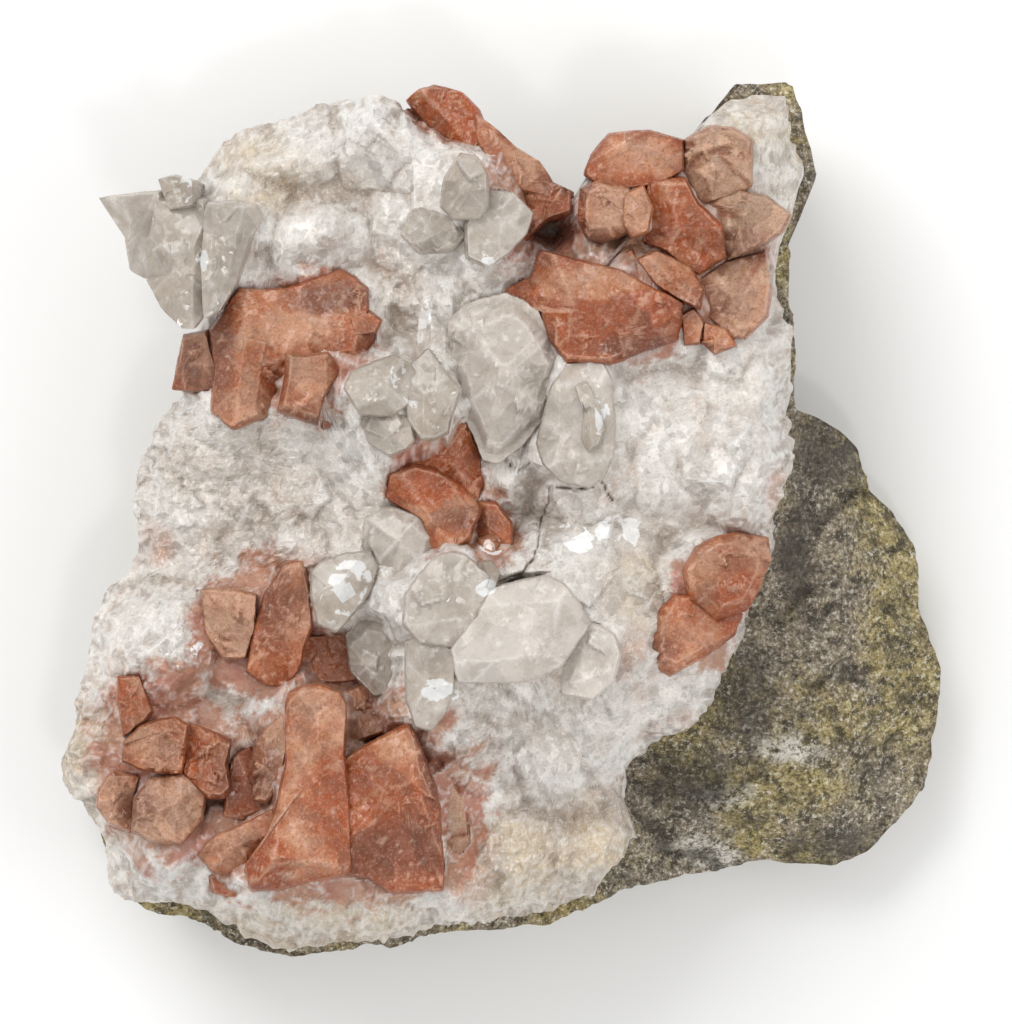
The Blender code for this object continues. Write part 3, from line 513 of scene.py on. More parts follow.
ANALCIME = {
    "analcime_left_spray": [
        gem([(97, 196), (128, 192), (160, 190), (170, 236), (160, 270), (146, 282), (130, 273),
            (124, 238)], 40.0, (0.12, 0.15), [(122, 194, 150, 276, 0.5), (104, 196, 136, 270, 0.3)],
            0.93, 0.8, 0.45, (78, -6), tone=0.55),
        gem([(156, 200), (182, 196), (206, 202), (214, 262), (210, 312), (196, 333), (184, 333),
            (162, 312), (146, 282), (148, 240)], 43.5, (0.0, 0.08), [(168, 204, 178, 328, 0.4),
            (196, 204, 194, 328, 0.5), (160, 250, 208, 246, 0.25)], 0.94, 0.8, 0.6, (44, -34),
            tone=0.25),
        gem([(206, 204), (232, 202), (258, 207), (264, 220), (252, 240), (237, 288), (220, 316),
            (204, 324), (200, 262)], 44.5, (-0.1, 0.08), [(216, 208, 208, 318, 0.5),
            (244, 210, 222, 312, 0.45)], 0.94, 0.8, 0.6, (26, -24), tone=0.3),
        gem([(158, 180), (176, 176), (195, 182), (196, 208), (170, 212)], 43.6, (0.0, -0.1),
            [(170, 178, 180, 210, 0.6)], 0.9, 0.8, 0.8, (24, 4), tone=0.1),
    ],
    "analcime_top_trio": [
        gem([(460, 154), (478, 158), (488, 176), (489, 209), (479, 221), (454, 222), (440, 208),
            (444, 180)], 46.0, (-0.05, 0.1), [(458, 160, 462, 218, 0.4), (446, 196, 488, 190, 0.3)],
            0.92, 0.9),
        gem([(421, 206), (442, 206), (468, 236), (454, 253), (419, 255), (401, 236), (409, 216)], 45.0,
            (-0.1, -0.05), drop=2.4),
        gem([(482, 188), (514, 193), (535, 214), (528, 234), (510, 255), (487, 270), (466, 260),
            (464, 226)], 43.5, (0.12, -0.05), [(470, 214, 526, 206, 0.35), (506, 196, 496, 262, 0.45)],
            0.93, 0.9, 0.8, (-10, 0), tone=0.45),
    ],
    "analcime_star": [
        gem([(344, 389), (351, 372), (374, 362), (395, 355), (411, 364), (420, 376), (418, 400),
            (392, 418), (360, 416)], 46.6, (0.0, 0.05), [(350, 384, 404, 374, 0.5),
            (392, 358, 386, 416, 0.45), (356, 406, 414, 392, 0.4)], 0.95, 0.7, tone=0.2),
        gem([(411, 364), (428, 347), (447, 372), (462, 391), (452, 418), (449, 434), (436, 441),
            (422, 441), (408, 422), (404, 398)], 46.2, (0.06, 0.0), [(426, 350, 424, 440, 0.45),
            (408, 396, 460, 388, 0.4)], 0.95, 0.7, tone=0.2),
        gem([(359, 418), (390, 402), (412, 420), (415, 441), (407, 450), (390, 457), (369, 443)], 45.0,
            (0.0, -0.1), [(390, 406, 390, 456, 0.5), (366, 432, 410, 430, 0.35)], 0.95, 0.7, tone=0.3),
    ],
    "analcime_globe": [
        gem([(446, 320), (462, 304), (480, 297), (505, 290), (524, 298), (539, 309), (549, 330),
            (564, 362), (552, 383), (547, 418), (522, 450), (499, 467), (482, 464), (472, 439),
            (462, 420), (448, 372)], 46.0, (-0.02, 0.05), drop=4.6, root=0.8, tone=0.62, tan=0.25),
    ],
    "analcime_ridge": [
        gem([(566, 362), (586, 359), (604, 362), (612, 379), (616, 423), (614, 458), (604, 481),
            (589, 489), (560, 484), (541, 464), (535, 443), (541, 423), (550, 387)], 43.4, (0.0, 0.0),
            [(560, 380, 556, 476, 0.35), (600, 370, 606, 470, 0.4), (544, 460, 612, 462, 0.4),
            (552, 388, 610, 378, 0.4)], 0.92, 0.9, tone=0.6),
        gem([(574, 386), (586, 380), (598, 404), (605, 430), (600, 446), (588, 454), (580, 440),
            (584, 416)], 44.6, (0.0, 0.0), [(582, 384, 594, 448, 0.6)], 0.9, 0.8, tone=0.15),
    ],
    "analcime_shelf": [
        gem([(365, 519), (380, 508), (393, 506), (421, 515), (439, 536), (437, 556), (410, 582),
            (380, 580), (362, 550)], 42.5, (0.05, 0.1), drop=2.6, tone=0.6, tan=0.2),
        gem([(311, 571), (322, 560), (348, 552), (372, 551), (380, 566), (372, 592), (348, 622),
            (337, 634), (318, 626), (311, 597)], 42.8, (-0.05, 0.0), [(318, 592, 372, 566, 0.35),
            (346, 556, 340, 630, 0.3)], 0.93, 0.9, tone=0.15),
        gem([(345, 634), (362, 612), (398, 622), (404, 647), (398, 676), (389, 693), (374, 697),
            (350, 672)], 40.4, (-0.05, -0.05), drop=2.2, tone=0.3, tan=0.4),
    ],
    "analcime_heart": [
        gem([(439, 553), (452, 550), (466, 553), (480, 566), (495, 577), (492, 610), (486, 636),
            (452, 648), (420, 644), (402, 623), (404, 593), (421, 571)], 47.0, (-0.05, 0.06),
            [(414, 590, 484, 574, 0.35), (470, 556, 474, 640, 0.3), (410, 626, 486, 616, 0.3)], 0.94,
            1.0, tone=0.45, tan=0.15),
        gem([(404, 640), (430, 630), (458, 650), (454, 690), (446, 712), (432, 731), (416, 727),
            (406, 700)], 45.5, (0.0, -0.08), [(428, 640, 424, 728, 0.45), (410, 690, 452, 684, 0.25)],
            0.93, 0.9, tone=0.35),
        gem([(490, 586), (520, 578), (549, 573), (565, 582), (582, 603), (592, 623), (574, 650),
            (560, 668), (530, 682), (490, 684), (456, 684), (447, 650), (474, 616)], 47.2,
            (0.03, -0.03), [(484, 606, 580, 598, 0.4), (560, 582, 548, 676, 0.4),
            (456, 664, 566, 652, 0.45)], 0.94, 1.0, tone=0.8),
        gem([(580, 618), (600, 624), (615, 634), (622, 652), (614, 680), (592, 700), (560, 694),
            (552, 660)], 44.4, (0.08, 0.0), [(586, 626, 580, 694, 0.3)], 0.92, 0.9, tone=0.75),
        gem([(478, 562), (492, 560), (500, 574), (494, 590), (478, 588)], 46.4, (0, 0.05),
            [(484, 564, 492, 586, 0.6)], 0.9, 0.7, tone=0.0),
    ],
}
print(sum(len(group) for group in CHABAZITE.values()), "chabazite crystals")
print(sum(len(group) for group in ANALCIME.values()), "analcime crystals")


# %% [markdown]
# ## The faces of a large crystal
# A crystal's faces are planes, so its roof is the lowest of them at each place. Cutting a block with
# planes would give the same, but a roof as a function of the plan can be asked for its height anywhere,
# and the crust needs that.

# %% Roof of a crystal
UPWARDS = 0.15
GEM_SHARE = 0.92
GEM_TOP, GEM_FALL = 1.45, 1.2
CUT_STEEPNESS = 1.35


def trapezohedron_top(u, v, pose):
    """Height at plan position u, v of a trapezohedron of radius 1, turned by pose. Each of its 24
    faces is the plane a.p = 1, where a holds 1, 1 and 2 with any signs, over 2; at each place the
    lowest of the planes that face upwards is the surface."""
    kinds = np.array([[2, 1, 1], [1, 2, 1], [1, 1, 2]]) * 0.5
    signs = np.array([[a, b, c] for a in (-1, 1) for b in (-1, 1) for c in (-1, 1)])
    planes = (kinds[:, None, :] * signs[None, :, :]).reshape(-1, 3) @ np.array(pose.to_matrix()).T
    lowest = np.full(np.shape(u), 9.0)
    for a, b, c in planes:
        if c > UPWARDS:
            lowest = np.minimum(lowest, (1 - a * u - b * v) / c)
    return lowest


def crystal_roof(crystal):
    """The crystal's faces as a function of plan position: the top plane less the largest of the falls
    beyond its cuts, its worn edge, and for a crystal without cuts a trapezohedron."""
    girdle = np.array([plan(p) for p in crystal.corners])
    middle = girdle.mean(axis=0)
    pose = Euler(tuple(tau * np.random.default_rng(int(crystal.corners[0][0])).random(3)))
    ridges = []
    for ax, ay, bx, by, rate in crystal.cuts:
        start, end = plan((ax, ay)), plan((bx, by))
        across = np.array([end[1] - start[1], start[0] - end[0]]) / np.linalg.norm(end - start)
        outwards = -across if across @ (middle - start) > 0 else across
        ridges.append((start, outwards * rate * CUT_STEEPNESS))

    def roof(x, y):
        east, north = x - middle[0], y - middle[1]
        distance = np.hypot(east, north)
        reach = outline_reach(girdle, middle, np.arctan2(north, east))
        share = np.minimum(1, distance / np.maximum(reach, 1e-6))
        fall = crystal.drop * MM * np.clip((share - crystal.crown) / (1 - crystal.crown), 0, 1)
        if crystal.facets and not ridges:
            away = np.maximum(distance, 1e-9)
            u, v = GEM_SHARE * share * east / away, GEM_SHARE * share * north / away
            fall = crystal.drop * MM * np.clip(GEM_TOP - trapezohedron_top(u, v, pose), 0, GEM_FALL)
        for start, push in ridges:
            fall = np.maximum(fall, (x - start[0]) * push[0] + (y - start[1]) * push[1])
        return crystal.top * MM + east * crystal.slope[0] + north * crystal.slope[1] - fall

    return roof, girdle, middle


groups = {**CHABAZITE, **ANALCIME}
roofs = {node: [crystal_roof(crystal) for crystal in group] for node, group in groups.items()}
first_roof = roofs["chabazite_corner_cubes"][0][0]
print("the first roof is", first_roof(*plan((300, 340))[:, None]) / MM, "mm high in its middle")

# %% [markdown]
# ## The crust
# The crust is thousands of tiny zeolite crystals that grew outwards from many points, so it swells
# into lumps, with hollows where growth left room for the larger crystals. A blunt swelling for each
# lump gives the big form, and the highest one wins at each place, as with real growth. Sculpting would
# do it as well, but then no number could be changed later.

# %% Values of the crust
SEAT_HEIGHT = 20 * MM
SEAT_WAVE = 1.2 * MM
CRUST_EDGE_HEIGHT = 29 * MM
CRUST_CROWN = 3 * MM
CRUST_RIM_THICKNESS = 4 * MM
SHOULDER_START = 0.88
CRYSTAL_ROOT = 26.5 * MM
HIGHEST = 45 * MM
MERGE = 0.7 * MM
SWELLING_POWER = 3.2
LUMP_WARP_SIZE, LUMP_WARP = 8 * MM, 2.2 * MM
CRUST_SINK = 1.6 * MM
BED_DEPTH = 0.6 * MM
LID_DEPTH = 0.7 * MM
BED_SLOPE = 0.85
BED_REACH = 9 * MM

Swelling = namedtuple("Swelling", "middle across along turn summit foot")
SWELLINGS = [
    Swelling((288, 152), 102, 60, 12, 42.0, 30),
    Swelling((385, 142), 64, 52, -20, 43.5, 31),
    Swelling((312, 238), 66, 46, -5, 44.0, 31),
    Swelling((400, 285), 36, 46, 20, 37.0, 30),
    Swelling((456, 300), 38, 58, 0, 38.5, 30),
    Swelling((650, 388), 74, 44, 0, 40.5, 31),
    Swelling((705, 440), 112, 112, 0, 40.5, 28),
    Swelling((215, 480), 110, 90, 0, 35.5, 28),
    Swelling((310, 170), 120, 90, 0, 38.5, 29),
    Swelling((738, 470), 62, 84, 15, 43.5, 31),
    Swelling((662, 468), 56, 64, 0, 41.5, 31),
    Swelling((765, 385), 36, 54, 0, 39.0, 30),
    Swelling((592, 542), 56, 40, 0, 36.5, 30),
    Swelling((642, 592), 46, 46, 0, 38.5, 30),
    Swelling((700, 650), 58, 88, -35, 35.5, 28),
    Swelling((525, 705), 92, 58, 0, 39.5, 30),
    Swelling((560, 762), 72, 44, 15, 36.5, 29),
    Swelling((325, 498), 92, 60, 0, 37.5, 30),
    Swelling((228, 448), 96, 50, 0, 37.0, 30),
    Swelling((186, 520), 66, 52, 0, 36.0, 29),
    Swelling((168, 642), 100, 62, 15, 39.0, 29),
    Swelling((150, 890), 58, 34, -20, 31.5, 26),
    Swelling((240, 922), 56, 34, -15, 32.0, 26),
    Swelling((330, 922), 70, 36, 0, 33.0, 26),
    Swelling((430, 903), 60, 38, 0, 33.0, 26),
    Swelling((540, 888), 70, 40, 10, 32.5, 26),
    Swelling((598, 846), 44, 46, 0, 32.0, 26),
    Swelling((500, 852), 62, 42, 0, 35.0, 28),
    Swelling((88, 760), 34, 70, 0, 34.0, 27),
    Swelling((112, 850), 36, 46, 0, 32.0, 26),
    Swelling((768, 150), 50, 76, 10, 36.5, 28),
    Swelling((742, 230), 58, 50, 0, 36.0, 28),
    Swelling((780, 330), 26, 60, 0, 34.0, 27),
]
Hollow = namedtuple("Hollow", "middle across along turn floor")
HOLLOWS = [
    Hollow((562, 236), 86, 26, -14, 24.5),
    Hollow((528, 512), 46, 44, 0, 32.0),
    Hollow((398, 742), 60, 30, 0, 28.0),
    Hollow((236, 782), 44, 40, 0, 29.0),
    Hollow((402, 330), 26, 34, 0, 32.5),
    Hollow((330, 660), 44, 40, 0, 28.5),
    Hollow((520, 588), 40, 14, 10, 30.0),
]
print(len(SWELLINGS), "swellings and", len(HOLLOWS), "hollows")


# %% Form of the crust
def seat(x, y):
    """The rock face that the crust grew on: a mean height and two long waves, one the sine along X
    times the cosine along Y, and one a slanting sine."""
    waves = np.sin(x * 95 + 0.6) * np.cos(y * 80) + 0.6 * np.sin(y * 150 + x * 60)
    return SEAT_HEIGHT + SEAT_WAVE * waves


def ellipse_radius(x, y, middle_px, across_px, along_px, turn=0.0):
    """0 in the middle of an ellipse and 1 on its rim: both offsets, turned into the ellipse's own
    directions, divided by its half-axes and joined by the rule of the right triangle."""
    middle = plan(middle_px)
    angle = radians(turn)
    east, north = x - middle[0], y - middle[1]
    along_x = (east * cos(angle) + north * sin(angle)) / (across_px * PX)
    along_y = (north * cos(angle) - east * sin(angle)) / (along_px * PX)
    return np.hypot(along_x, along_y)


def bedding(x, y):
    """Two heights that fit the crust to the crystals. The bed is how high it stands beside them: just
    under each one's edge, and lower with the distance from it. The lid keeps it under the highest
    crystal that covers a place, by more towards that crystal's middle."""
    bed, lid = np.zeros(np.shape(x)), np.full(np.shape(x), -1.0)
    for roof, girdle, middle in [r for group in roofs.values() for r in group]:
        east, north = x - middle[0], y - middle[1]
        distance = np.hypot(east, north)
        near = distance < np.linalg.norm(girdle - middle, axis=1).max() + BED_REACH
        if not near.any():
            continue
        east, north, distance = east[near], north[near], np.maximum(distance[near], 1e-6)
        reach = outline_reach(girdle, middle, np.arctan2(north, east))
        inner = np.minimum(1, reach / distance)
        height = roof(middle[0] + east * inner, middle[1] + north * inner)
        outside = distance - reach
        bed[near] = np.maximum(bed[near], height - BED_DEPTH - BED_SLOPE * np.abs(outside))
        under = height - LID_DEPTH + BED_SLOPE * outside
        lid[near] = np.where(outside < 0, np.maximum(lid[near], under), lid[near])
    return bed, np.where(lid < 0, 1.0, lid)


def crust_share(x, y):
    """0 at the hub and 1 on the crust's outline."""
    east, north = x - hub[0], y - hub[1]
    return np.hypot(east, north) / outline_reach(crust_outline, hub, np.arctan2(north, east))


def crust_form(x, y):
    """A low dome and the swellings, each foot + rise (1 - radius^power), blended by the soft maximum
    k ln(sum of e^(h/k)). Then the hollows, the bed of the crystals, and a shoulder to the rim."""
    share = crust_share(x, y)
    bed, lid = bedding(x, y)
    x, y = warped(x, y, LUMP_WARP_SIZE, LUMP_WARP, 71)
    total = np.exp((CRUST_EDGE_HEIGHT + CRUST_CROWN * (1 - share**2) - HIGHEST) / MERGE)
    for middle, across, along, turn, summit, foot in SWELLINGS:
        radius = ellipse_radius(x, y, middle, across, along, turn)
        bulge = np.clip(1 - radius**SWELLING_POWER, -1, None)
        total = total + np.exp(((foot + (summit - foot) * bulge) * MM - HIGHEST) / MERGE)
    height = HIGHEST + MERGE * np.log(total)
    for middle, across, along, turn, floor in HOLLOWS:
        depth = np.clip(1 - ellipse_radius(x, y, middle, across, along, turn) ** 2, 0, None)
        height = height - depth * np.maximum(height - floor * MM, 0)
        bed = bed - depth * np.maximum(bed - floor * MM, 0)
    height = np.minimum(np.maximum(height, bed), lid)
    shoulder = np.clip((share - SHOULDER_START) / (1 - SHOULDER_START), 0, 1) ** 2
    low = seat(x, y) + CRUST_RIM_THICKNESS
    return low + (height - low) * (1 - shoulder)


# %% [markdown]
# ## The crust's crystals
# Over the big form grow crystals of four sizes, each layer on the one before. In the sugary parts the
# two finest stand prouder. The finest are about one millimetre, because smaller ones would be lost
# between the points of the mesh; the material takes over from there.

# %% Layers of the crust
SUGARY_ZONES = [
    ((230, 470), 120, 80), ((300, 930), 230, 46), ((540, 880), 90, 50), ((110, 860), 60, 70),
    ((80, 760), 40, 90), ((395, 285), 36, 60), ((250, 545), 110, 36), ((770, 150), 60, 90),
    ((700, 715), 60, 60), ((500, 800), 90, 60),
]


def zone_weight(x, y, zones):
    """1 inside the ellipses of a list of zones, falling to 0 over their outer half."""
    weight = np.zeros(np.shape(x))
    for middle, across, along in zones:
        radius = ellipse_radius(x, y, middle, across, along)
        weight = np.maximum(weight, np.clip(2 * (1 - radius), 0, 1))
    return weight


def zone_marks(body, zones, size, depth, seed):
    """The weight of each named list of zones at a body's vertices, with torn edges."""
    x, y = warped(body[0][:, 0], body[0][:, 1], size, depth, seed)
    return {key: zone_weight(x, y, ellipses) for key, ellipses in zones.items()}


def sugar(strength):
    return lambda x, y: strength * zone_weight(x, y, SUGARY_ZONES)


def bare_form(x, y):
    return crust_form(x, y) - CRUST_SINK


blunt_layer = grown_on(bare_form, 6.5 * MM, 30, 5, 0.3, (0.10, 0.26), 0.95)
large_layer = grown_on(blunt_layer, 3.2 * MM, 31, 5, 0.5, (-0.10, 0.20), 0.9)
middle_layer = grown_on(large_layer, 1.7 * MM, 32, 4, 0.65, (-0.2, 0.16), 0.9, extra=sugar(0.28))
druse_layer = grown_on(middle_layer, 0.95 * MM, 33, 3, 0.8, (-0.25, 0.15), 0.8, extra=sugar(0.25))
print("the crust at the hub is", druse_layer(hub[:1], hub[1:]) / MM, "mm high")

# %% [markdown]
# ## The flank of the crust
# At its rim the crust falls steeply to the rock, and a height over the plan can't show crystals there.
# So the flank gets its own: their surface is worked out over the way round the hub and the height, and
# it sets the flank back between crystals that grew outwards.

# %% Crystals of the flank
CRAG_SIZE, CRAG_DRUSE = 6 * MM, 2.2 * MM
CRAG_DEPTH, CRAG_TOP, CRAG_SHARE = 0.075, 0.45, 0.024
FLANK_RADIUS, FLANK_GROUND = 42 * MM, 150 * MM
FLANK_START, FLANK_WIDTH = 0.84, 0.12
crag_blocks = grown_on(level_ground, CRAG_SIZE, 65, 4, 0.5, (0.0, 0.4), reach=FLANK_GROUND)
crag_druse = grown_on(crag_blocks, CRAG_DRUSE, 66, 4, 0.6, (-0.1, 0.3), reach=FLANK_GROUND)


def craggy(points, share):
    """Moves the flank's points towards the hub, by a share that is the larger the less the crystals
    stand proud there, and all of them outwards by one small share."""
    arm = points[..., :2] - hub
    along = np.arctan2(arm[..., 1], arm[..., 0]) * FLANK_RADIUS
    proud = crag_druse(along, points[..., 2]) / CRAG_SIZE
    flank = np.clip((share - FLANK_START) / FLANK_WIDTH, 0, 1)
    setback = (CRAG_DEPTH * np.clip(CRAG_TOP - proud, 0, CRAG_TOP) - CRAG_SHARE) * flank
    moved = points.copy()
    moved[..., :2] = hub + arm * (1 - setback)[..., None]
    return moved


print("a crystal of the flank rises", crag_druse(np.zeros(1), np.zeros(1)) / MM, "mm")

# %% Cracks and colours of the crust
CRACK_WIDTH, CRACK_DEPTH = 0.28 * MM, 0.7 * MM
CRACKS_PX = [
    [(550, 486), (549, 503), (541, 520), (538, 545), (534, 558), (522, 572), (498, 581)],
    [(556, 486), (574, 490), (590, 486)], [(505, 462), (520, 470), (530, 462)],
    [(594, 470), (604, 486), (612, 500)],
]
SALMON_BELOW, SALMON_FADE = 29 * MM, 4 * MM
COLOUR_ZONES = {
    # Zones of painted glints: white patches that stand in for flat faces reflecting the lamp.
    "painted_glint": [
        ((579, 537), 20, 22), ((622, 533), 26, 20), ((178, 664), 26, 12), ((203, 652), 14, 10),
        ((352, 578), 20, 26), ((340, 600), 18, 14), ((184, 190), 14, 16), ((202, 260), 8, 14),
        ((403, 378), 12, 20), ((410, 402), 8, 6), ((427, 322), 7, 26), ((484, 589), 14, 9),
        ((600, 415), 10, 30), ((440, 690), 22, 14), ((478, 262), 24, 9), ((494, 546), 12, 12),
    ],
    "salmon": [
        ((600, 236), 90, 56), ((690, 250), 90, 110), ((520, 200), 66, 70), ((445, 110), 44, 44),
        ((295, 350), 100, 92), ((165, 775), 124, 126), ((326, 796), 196, 146), ((262, 630), 90, 96),
        ((330, 664), 60, 46), ((440, 490), 60, 84), ((495, 535), 36, 48), ((712, 604), 50, 80),
        ((640, 320), 84, 50), ((460, 820), 30, 70),
    ],
    "blush": [
        ((106, 597), 26, 20), ((690, 735), 56, 28), ((612, 786), 26, 34), ((150, 545), 34, 26),
        ((110, 700), 50, 60), ((640, 660), 26, 40), ((782, 500), 22, 40), ((120, 790), 60, 60),
        ((300, 590), 60, 50), ((470, 870), 40, 40), ((730, 240), 80, 70),
    ],
    "cream": [
        ((300, 935), 240, 44), ((545, 880), 100, 60), ((90, 780), 60, 110), ((770, 150), 70, 90),
        ((500, 850), 80, 60), ((600, 840), 60, 60), ((640, 590), 50, 50), ((260, 170), 60, 50),
    ],
    "grey": [
        ((230, 470), 130, 70), ((300, 520), 120, 50), ((180, 560), 90, 50), ((395, 290), 40, 60),
        ((520, 690), 90, 60), ((330, 180), 40, 20),
    ],
}


def polyline_distance(x, y, pixels):
    """The distance to the nearest of the stretches between a line's pixels."""
    nearest = np.full(np.shape(x), 1.0)
    for start, end in zip(pixels[:-1], pixels[1:]):
        a, b = plan(start), plan(end)
        part = ((x - a[0]) * (b[0] - a[0]) + (y - a[1]) * (b[1] - a[1])) / ((b - a) @ (b - a))
        part = np.clip(part, 0, 1)
        across, along = x - a[0] - part * (b[0] - a[0]), y - a[1] - part * (b[1] - a[1])
        nearest = np.minimum(nearest, np.hypot(across, along))
    return nearest


def crack_share(x, y):
    """1 in the middle of a crack and 0 beyond its width."""
    crooked = warped(x, y, 1.5 * MM, 0.3 * MM, 45)
    nearest = np.min([polyline_distance(*crooked, line) for line in CRACKS_PX], axis=0)
    return np.clip(1 - nearest / CRACK_WIDTH, 0, 1)


print(len(CRACKS_PX), "cracks, and zones of", ", ".join(COLOUR_ZONES))

# %% Make the crust
CRUST_POINTS = 296
CRUST_WALLS = 8
CRUST_TAPER = 0.012
CRUST_SHARP_ANGLE = 16
GRAIN = 0.03 * MM
SEAT_DEPTH = 0.4 * MM
TOP_ROOM = 2 * MM
STEEP_FROM, STEEP_RANGE, STEEP_EASE = 0.08 * MM, 0.15 * MM, 0.8


def crust_top(share, angle):
    """The crust's face on the disc lattice, eased where its points lie steeply above each other, with
    a fine random grain and the cracks sunk in."""
    reach = outline_reach(crust_outline, hub, angle) * ragged(share, angle, 0.04, 41, 0.16)
    x, y = disc_plan(hub, reach, share, angle)
    z = np.minimum(druse_layer(x, y), solid_box[1][2] - TOP_ROOM)
    unevenness = blurred(np.abs(z - blurred(z, 1)), 1)
    steep = np.clip((unevenness - STEEP_FROM) / STEEP_RANGE, 0, 1)
    z = z + (blurred(z, 1) - z) * STEEP_EASE * steep
    z = z + np.random.default_rng(43).uniform(-1, 1, z.shape) * GRAIN
    crack = crack_share(x, y)
    return np.stack([x, y, z - crack * CRACK_DEPTH], axis=2), crack


def make_crust():
    """The crust's face, a thin wall at its rim and a bottom just inside the rock."""
    share, angle = disc_lattice(CRUST_POINTS)
    top, crack = crust_top(share, angle)
    z = top[..., 2].copy()
    rim = top.reshape(-1, 3)[rim_indices(CRUST_POINTS)]
    levels = np.linspace(0, 1, CRUST_WALLS + 1)[1:, None]
    foot = seat(rim[:, 0], rim[:, 1]) - SEAT_DEPTH
    rings = np.empty((CRUST_WALLS, len(rim), 3))
    rings[..., :2] = hub + (rim[:, :2] - hub) * (1 - CRUST_TAPER * levels**2)[..., None]
    rings[..., 2] = rim[:, 2] * (1 - levels) + foot * levels
    top, rings = craggy(top, share), craggy(rings, 1.0)
    body = body_arrays(top, rings, [*hub, float(seat(hub[0], hub[1])) - SEAT_DEPTH])
    # The edge mark is for painted highlights: it lightens the crests of the crust's small crystals.
    edge = np.clip((z - blurred(z, 1)) / (0.08 * MM) - 0.3, 0, 1)
    # The cavity and deep marks are for painted shade: they darken the crust in small and in wide hollows.
    marks = {"cavity_shade": spread(hollow(z, 4, 0.4 * MM), body), "deep": spread(hollow(z, 20, 2.5 * MM), body),
             "crack": spread(crack, body), "edge": spread(edge, body),
             **zone_marks(body, COLOUR_ZONES, 5 * MM, 1.5 * MM, 47)}
    height = body[0][:, 2] + 3 * MM * layered_noise(body[0][:, 0], body[0][:, 1], 6 * MM, 49)
    for key in ("salmon", "blush"):
        marks[key] = marks[key] * np.clip((height - SALMON_BELOW) / SALMON_FADE, 0, 1)
    return add_mesh("milky_crust_druse", [body], marks)


crust = make_crust()
crust.data.set_sharp_from_angle(angle=radians(CRUST_SHARP_ANGLE))

# %% [markdown]
# ## The basalt
# The rock carries the crust and shows as a bare lobe on the right. Rock breaks along flat chips of
# every size, so its face has the same layers of flat-faced tips as the crust, only wider and lower, and
# its flanks have slabs that were worked out over the way round and the height.

# %% Form of the basalt
FLANK_SHARES = [1.0, 1.0, 0.99, 0.965, 0.925, 0.87]
FLANK_LEVELS = [1.0, 0.80, 0.58, 0.34, 0.13, 0.0]
FLANK_ROUGHNESS = 0.06
FLANK_OUT = 0.6
LOBE_FALL = 12 * MM
SEAT_GAP = 0.2 * MM
CHIP_SINK = 0.5 * MM
SLAB_SIZE, SLAB_CHIPS = 8 * MM, 2.6 * MM
BASALT_RADIUS = 40 * MM
BASALT_POINTS = 230
BASALT_WALLS = 26


def basalt_form(x, y):
    """The seat under the crust. Beyond the crust's outline the face falls away, by more where more
    rock is bare: the fall at the edge times e^-((way in from the edge / a width) ^ 1.5)."""
    east, north = x - hub[0], y - hub[1]
    angle = np.arctan2(north, east)
    whole = outline_reach(basalt_outline, hub, angle)
    bare = np.clip(whole - outline_reach(crust_outline, hub, angle), 0, None)
    from_edge = np.clip(whole - np.hypot(east, north), 0, None)
    fall = np.minimum(LOBE_FALL, 0.9 * bare)
    drop = fall * np.exp(-((from_edge / (0.42 * bare + 1 * MM)) ** 1.5))
    lumps = layered_noise(x, y, 7 * MM, 53, 5) * 1.8 * MM
    return seat(x, y) - drop + lumps * np.clip(drop / (1.5 * MM), 0, 1) - SEAT_GAP


broken_layer = grown_on(basalt_form, 6 * MM, 51, 3, 0.5, (0.0, 0.16))
chip_layer = grown_on(broken_layer, 2.2 * MM, 52, 4, 0.7, (-0.15, 0.2))
rock_layer = grown_on(chip_layer, 0.9 * MM, 54, 3, 0.8, (-0.2, 0.3))
slabs = grown_on(level_ground, SLAB_SIZE, 62, 3, 0.45, (0.0, 0.5), reach=FLANK_GROUND)
broken_slabs = grown_on(slabs, SLAB_CHIPS, 64, 3, 0.6, (-0.1, 0.25), reach=FLANK_GROUND)
print("the rock at the hub is", rock_layer(hub[:1], hub[1:]) / MM, "mm high")

# %% Make the basalt
ROCK_ZONES = {
    "olive": [
        ((915, 640), 46, 170), ((770, 790), 110, 40), ((900, 500), 60, 80),
    ],
    # Dark zones: partly dark rock, partly painted shade beside the crust's edge and near the rock's lower
    # rim.
    "dark": [
        ((830, 440), 60, 56), ((742, 690), 46, 60), ((800, 560), 26, 90), ((690, 780), 60, 40),
        ((860, 850), 80, 22),
    ],
    "chalk": [
        ((705, 855), 50, 12), ((790, 745), 50, 18), ((720, 800), 40, 16),
    ],
}


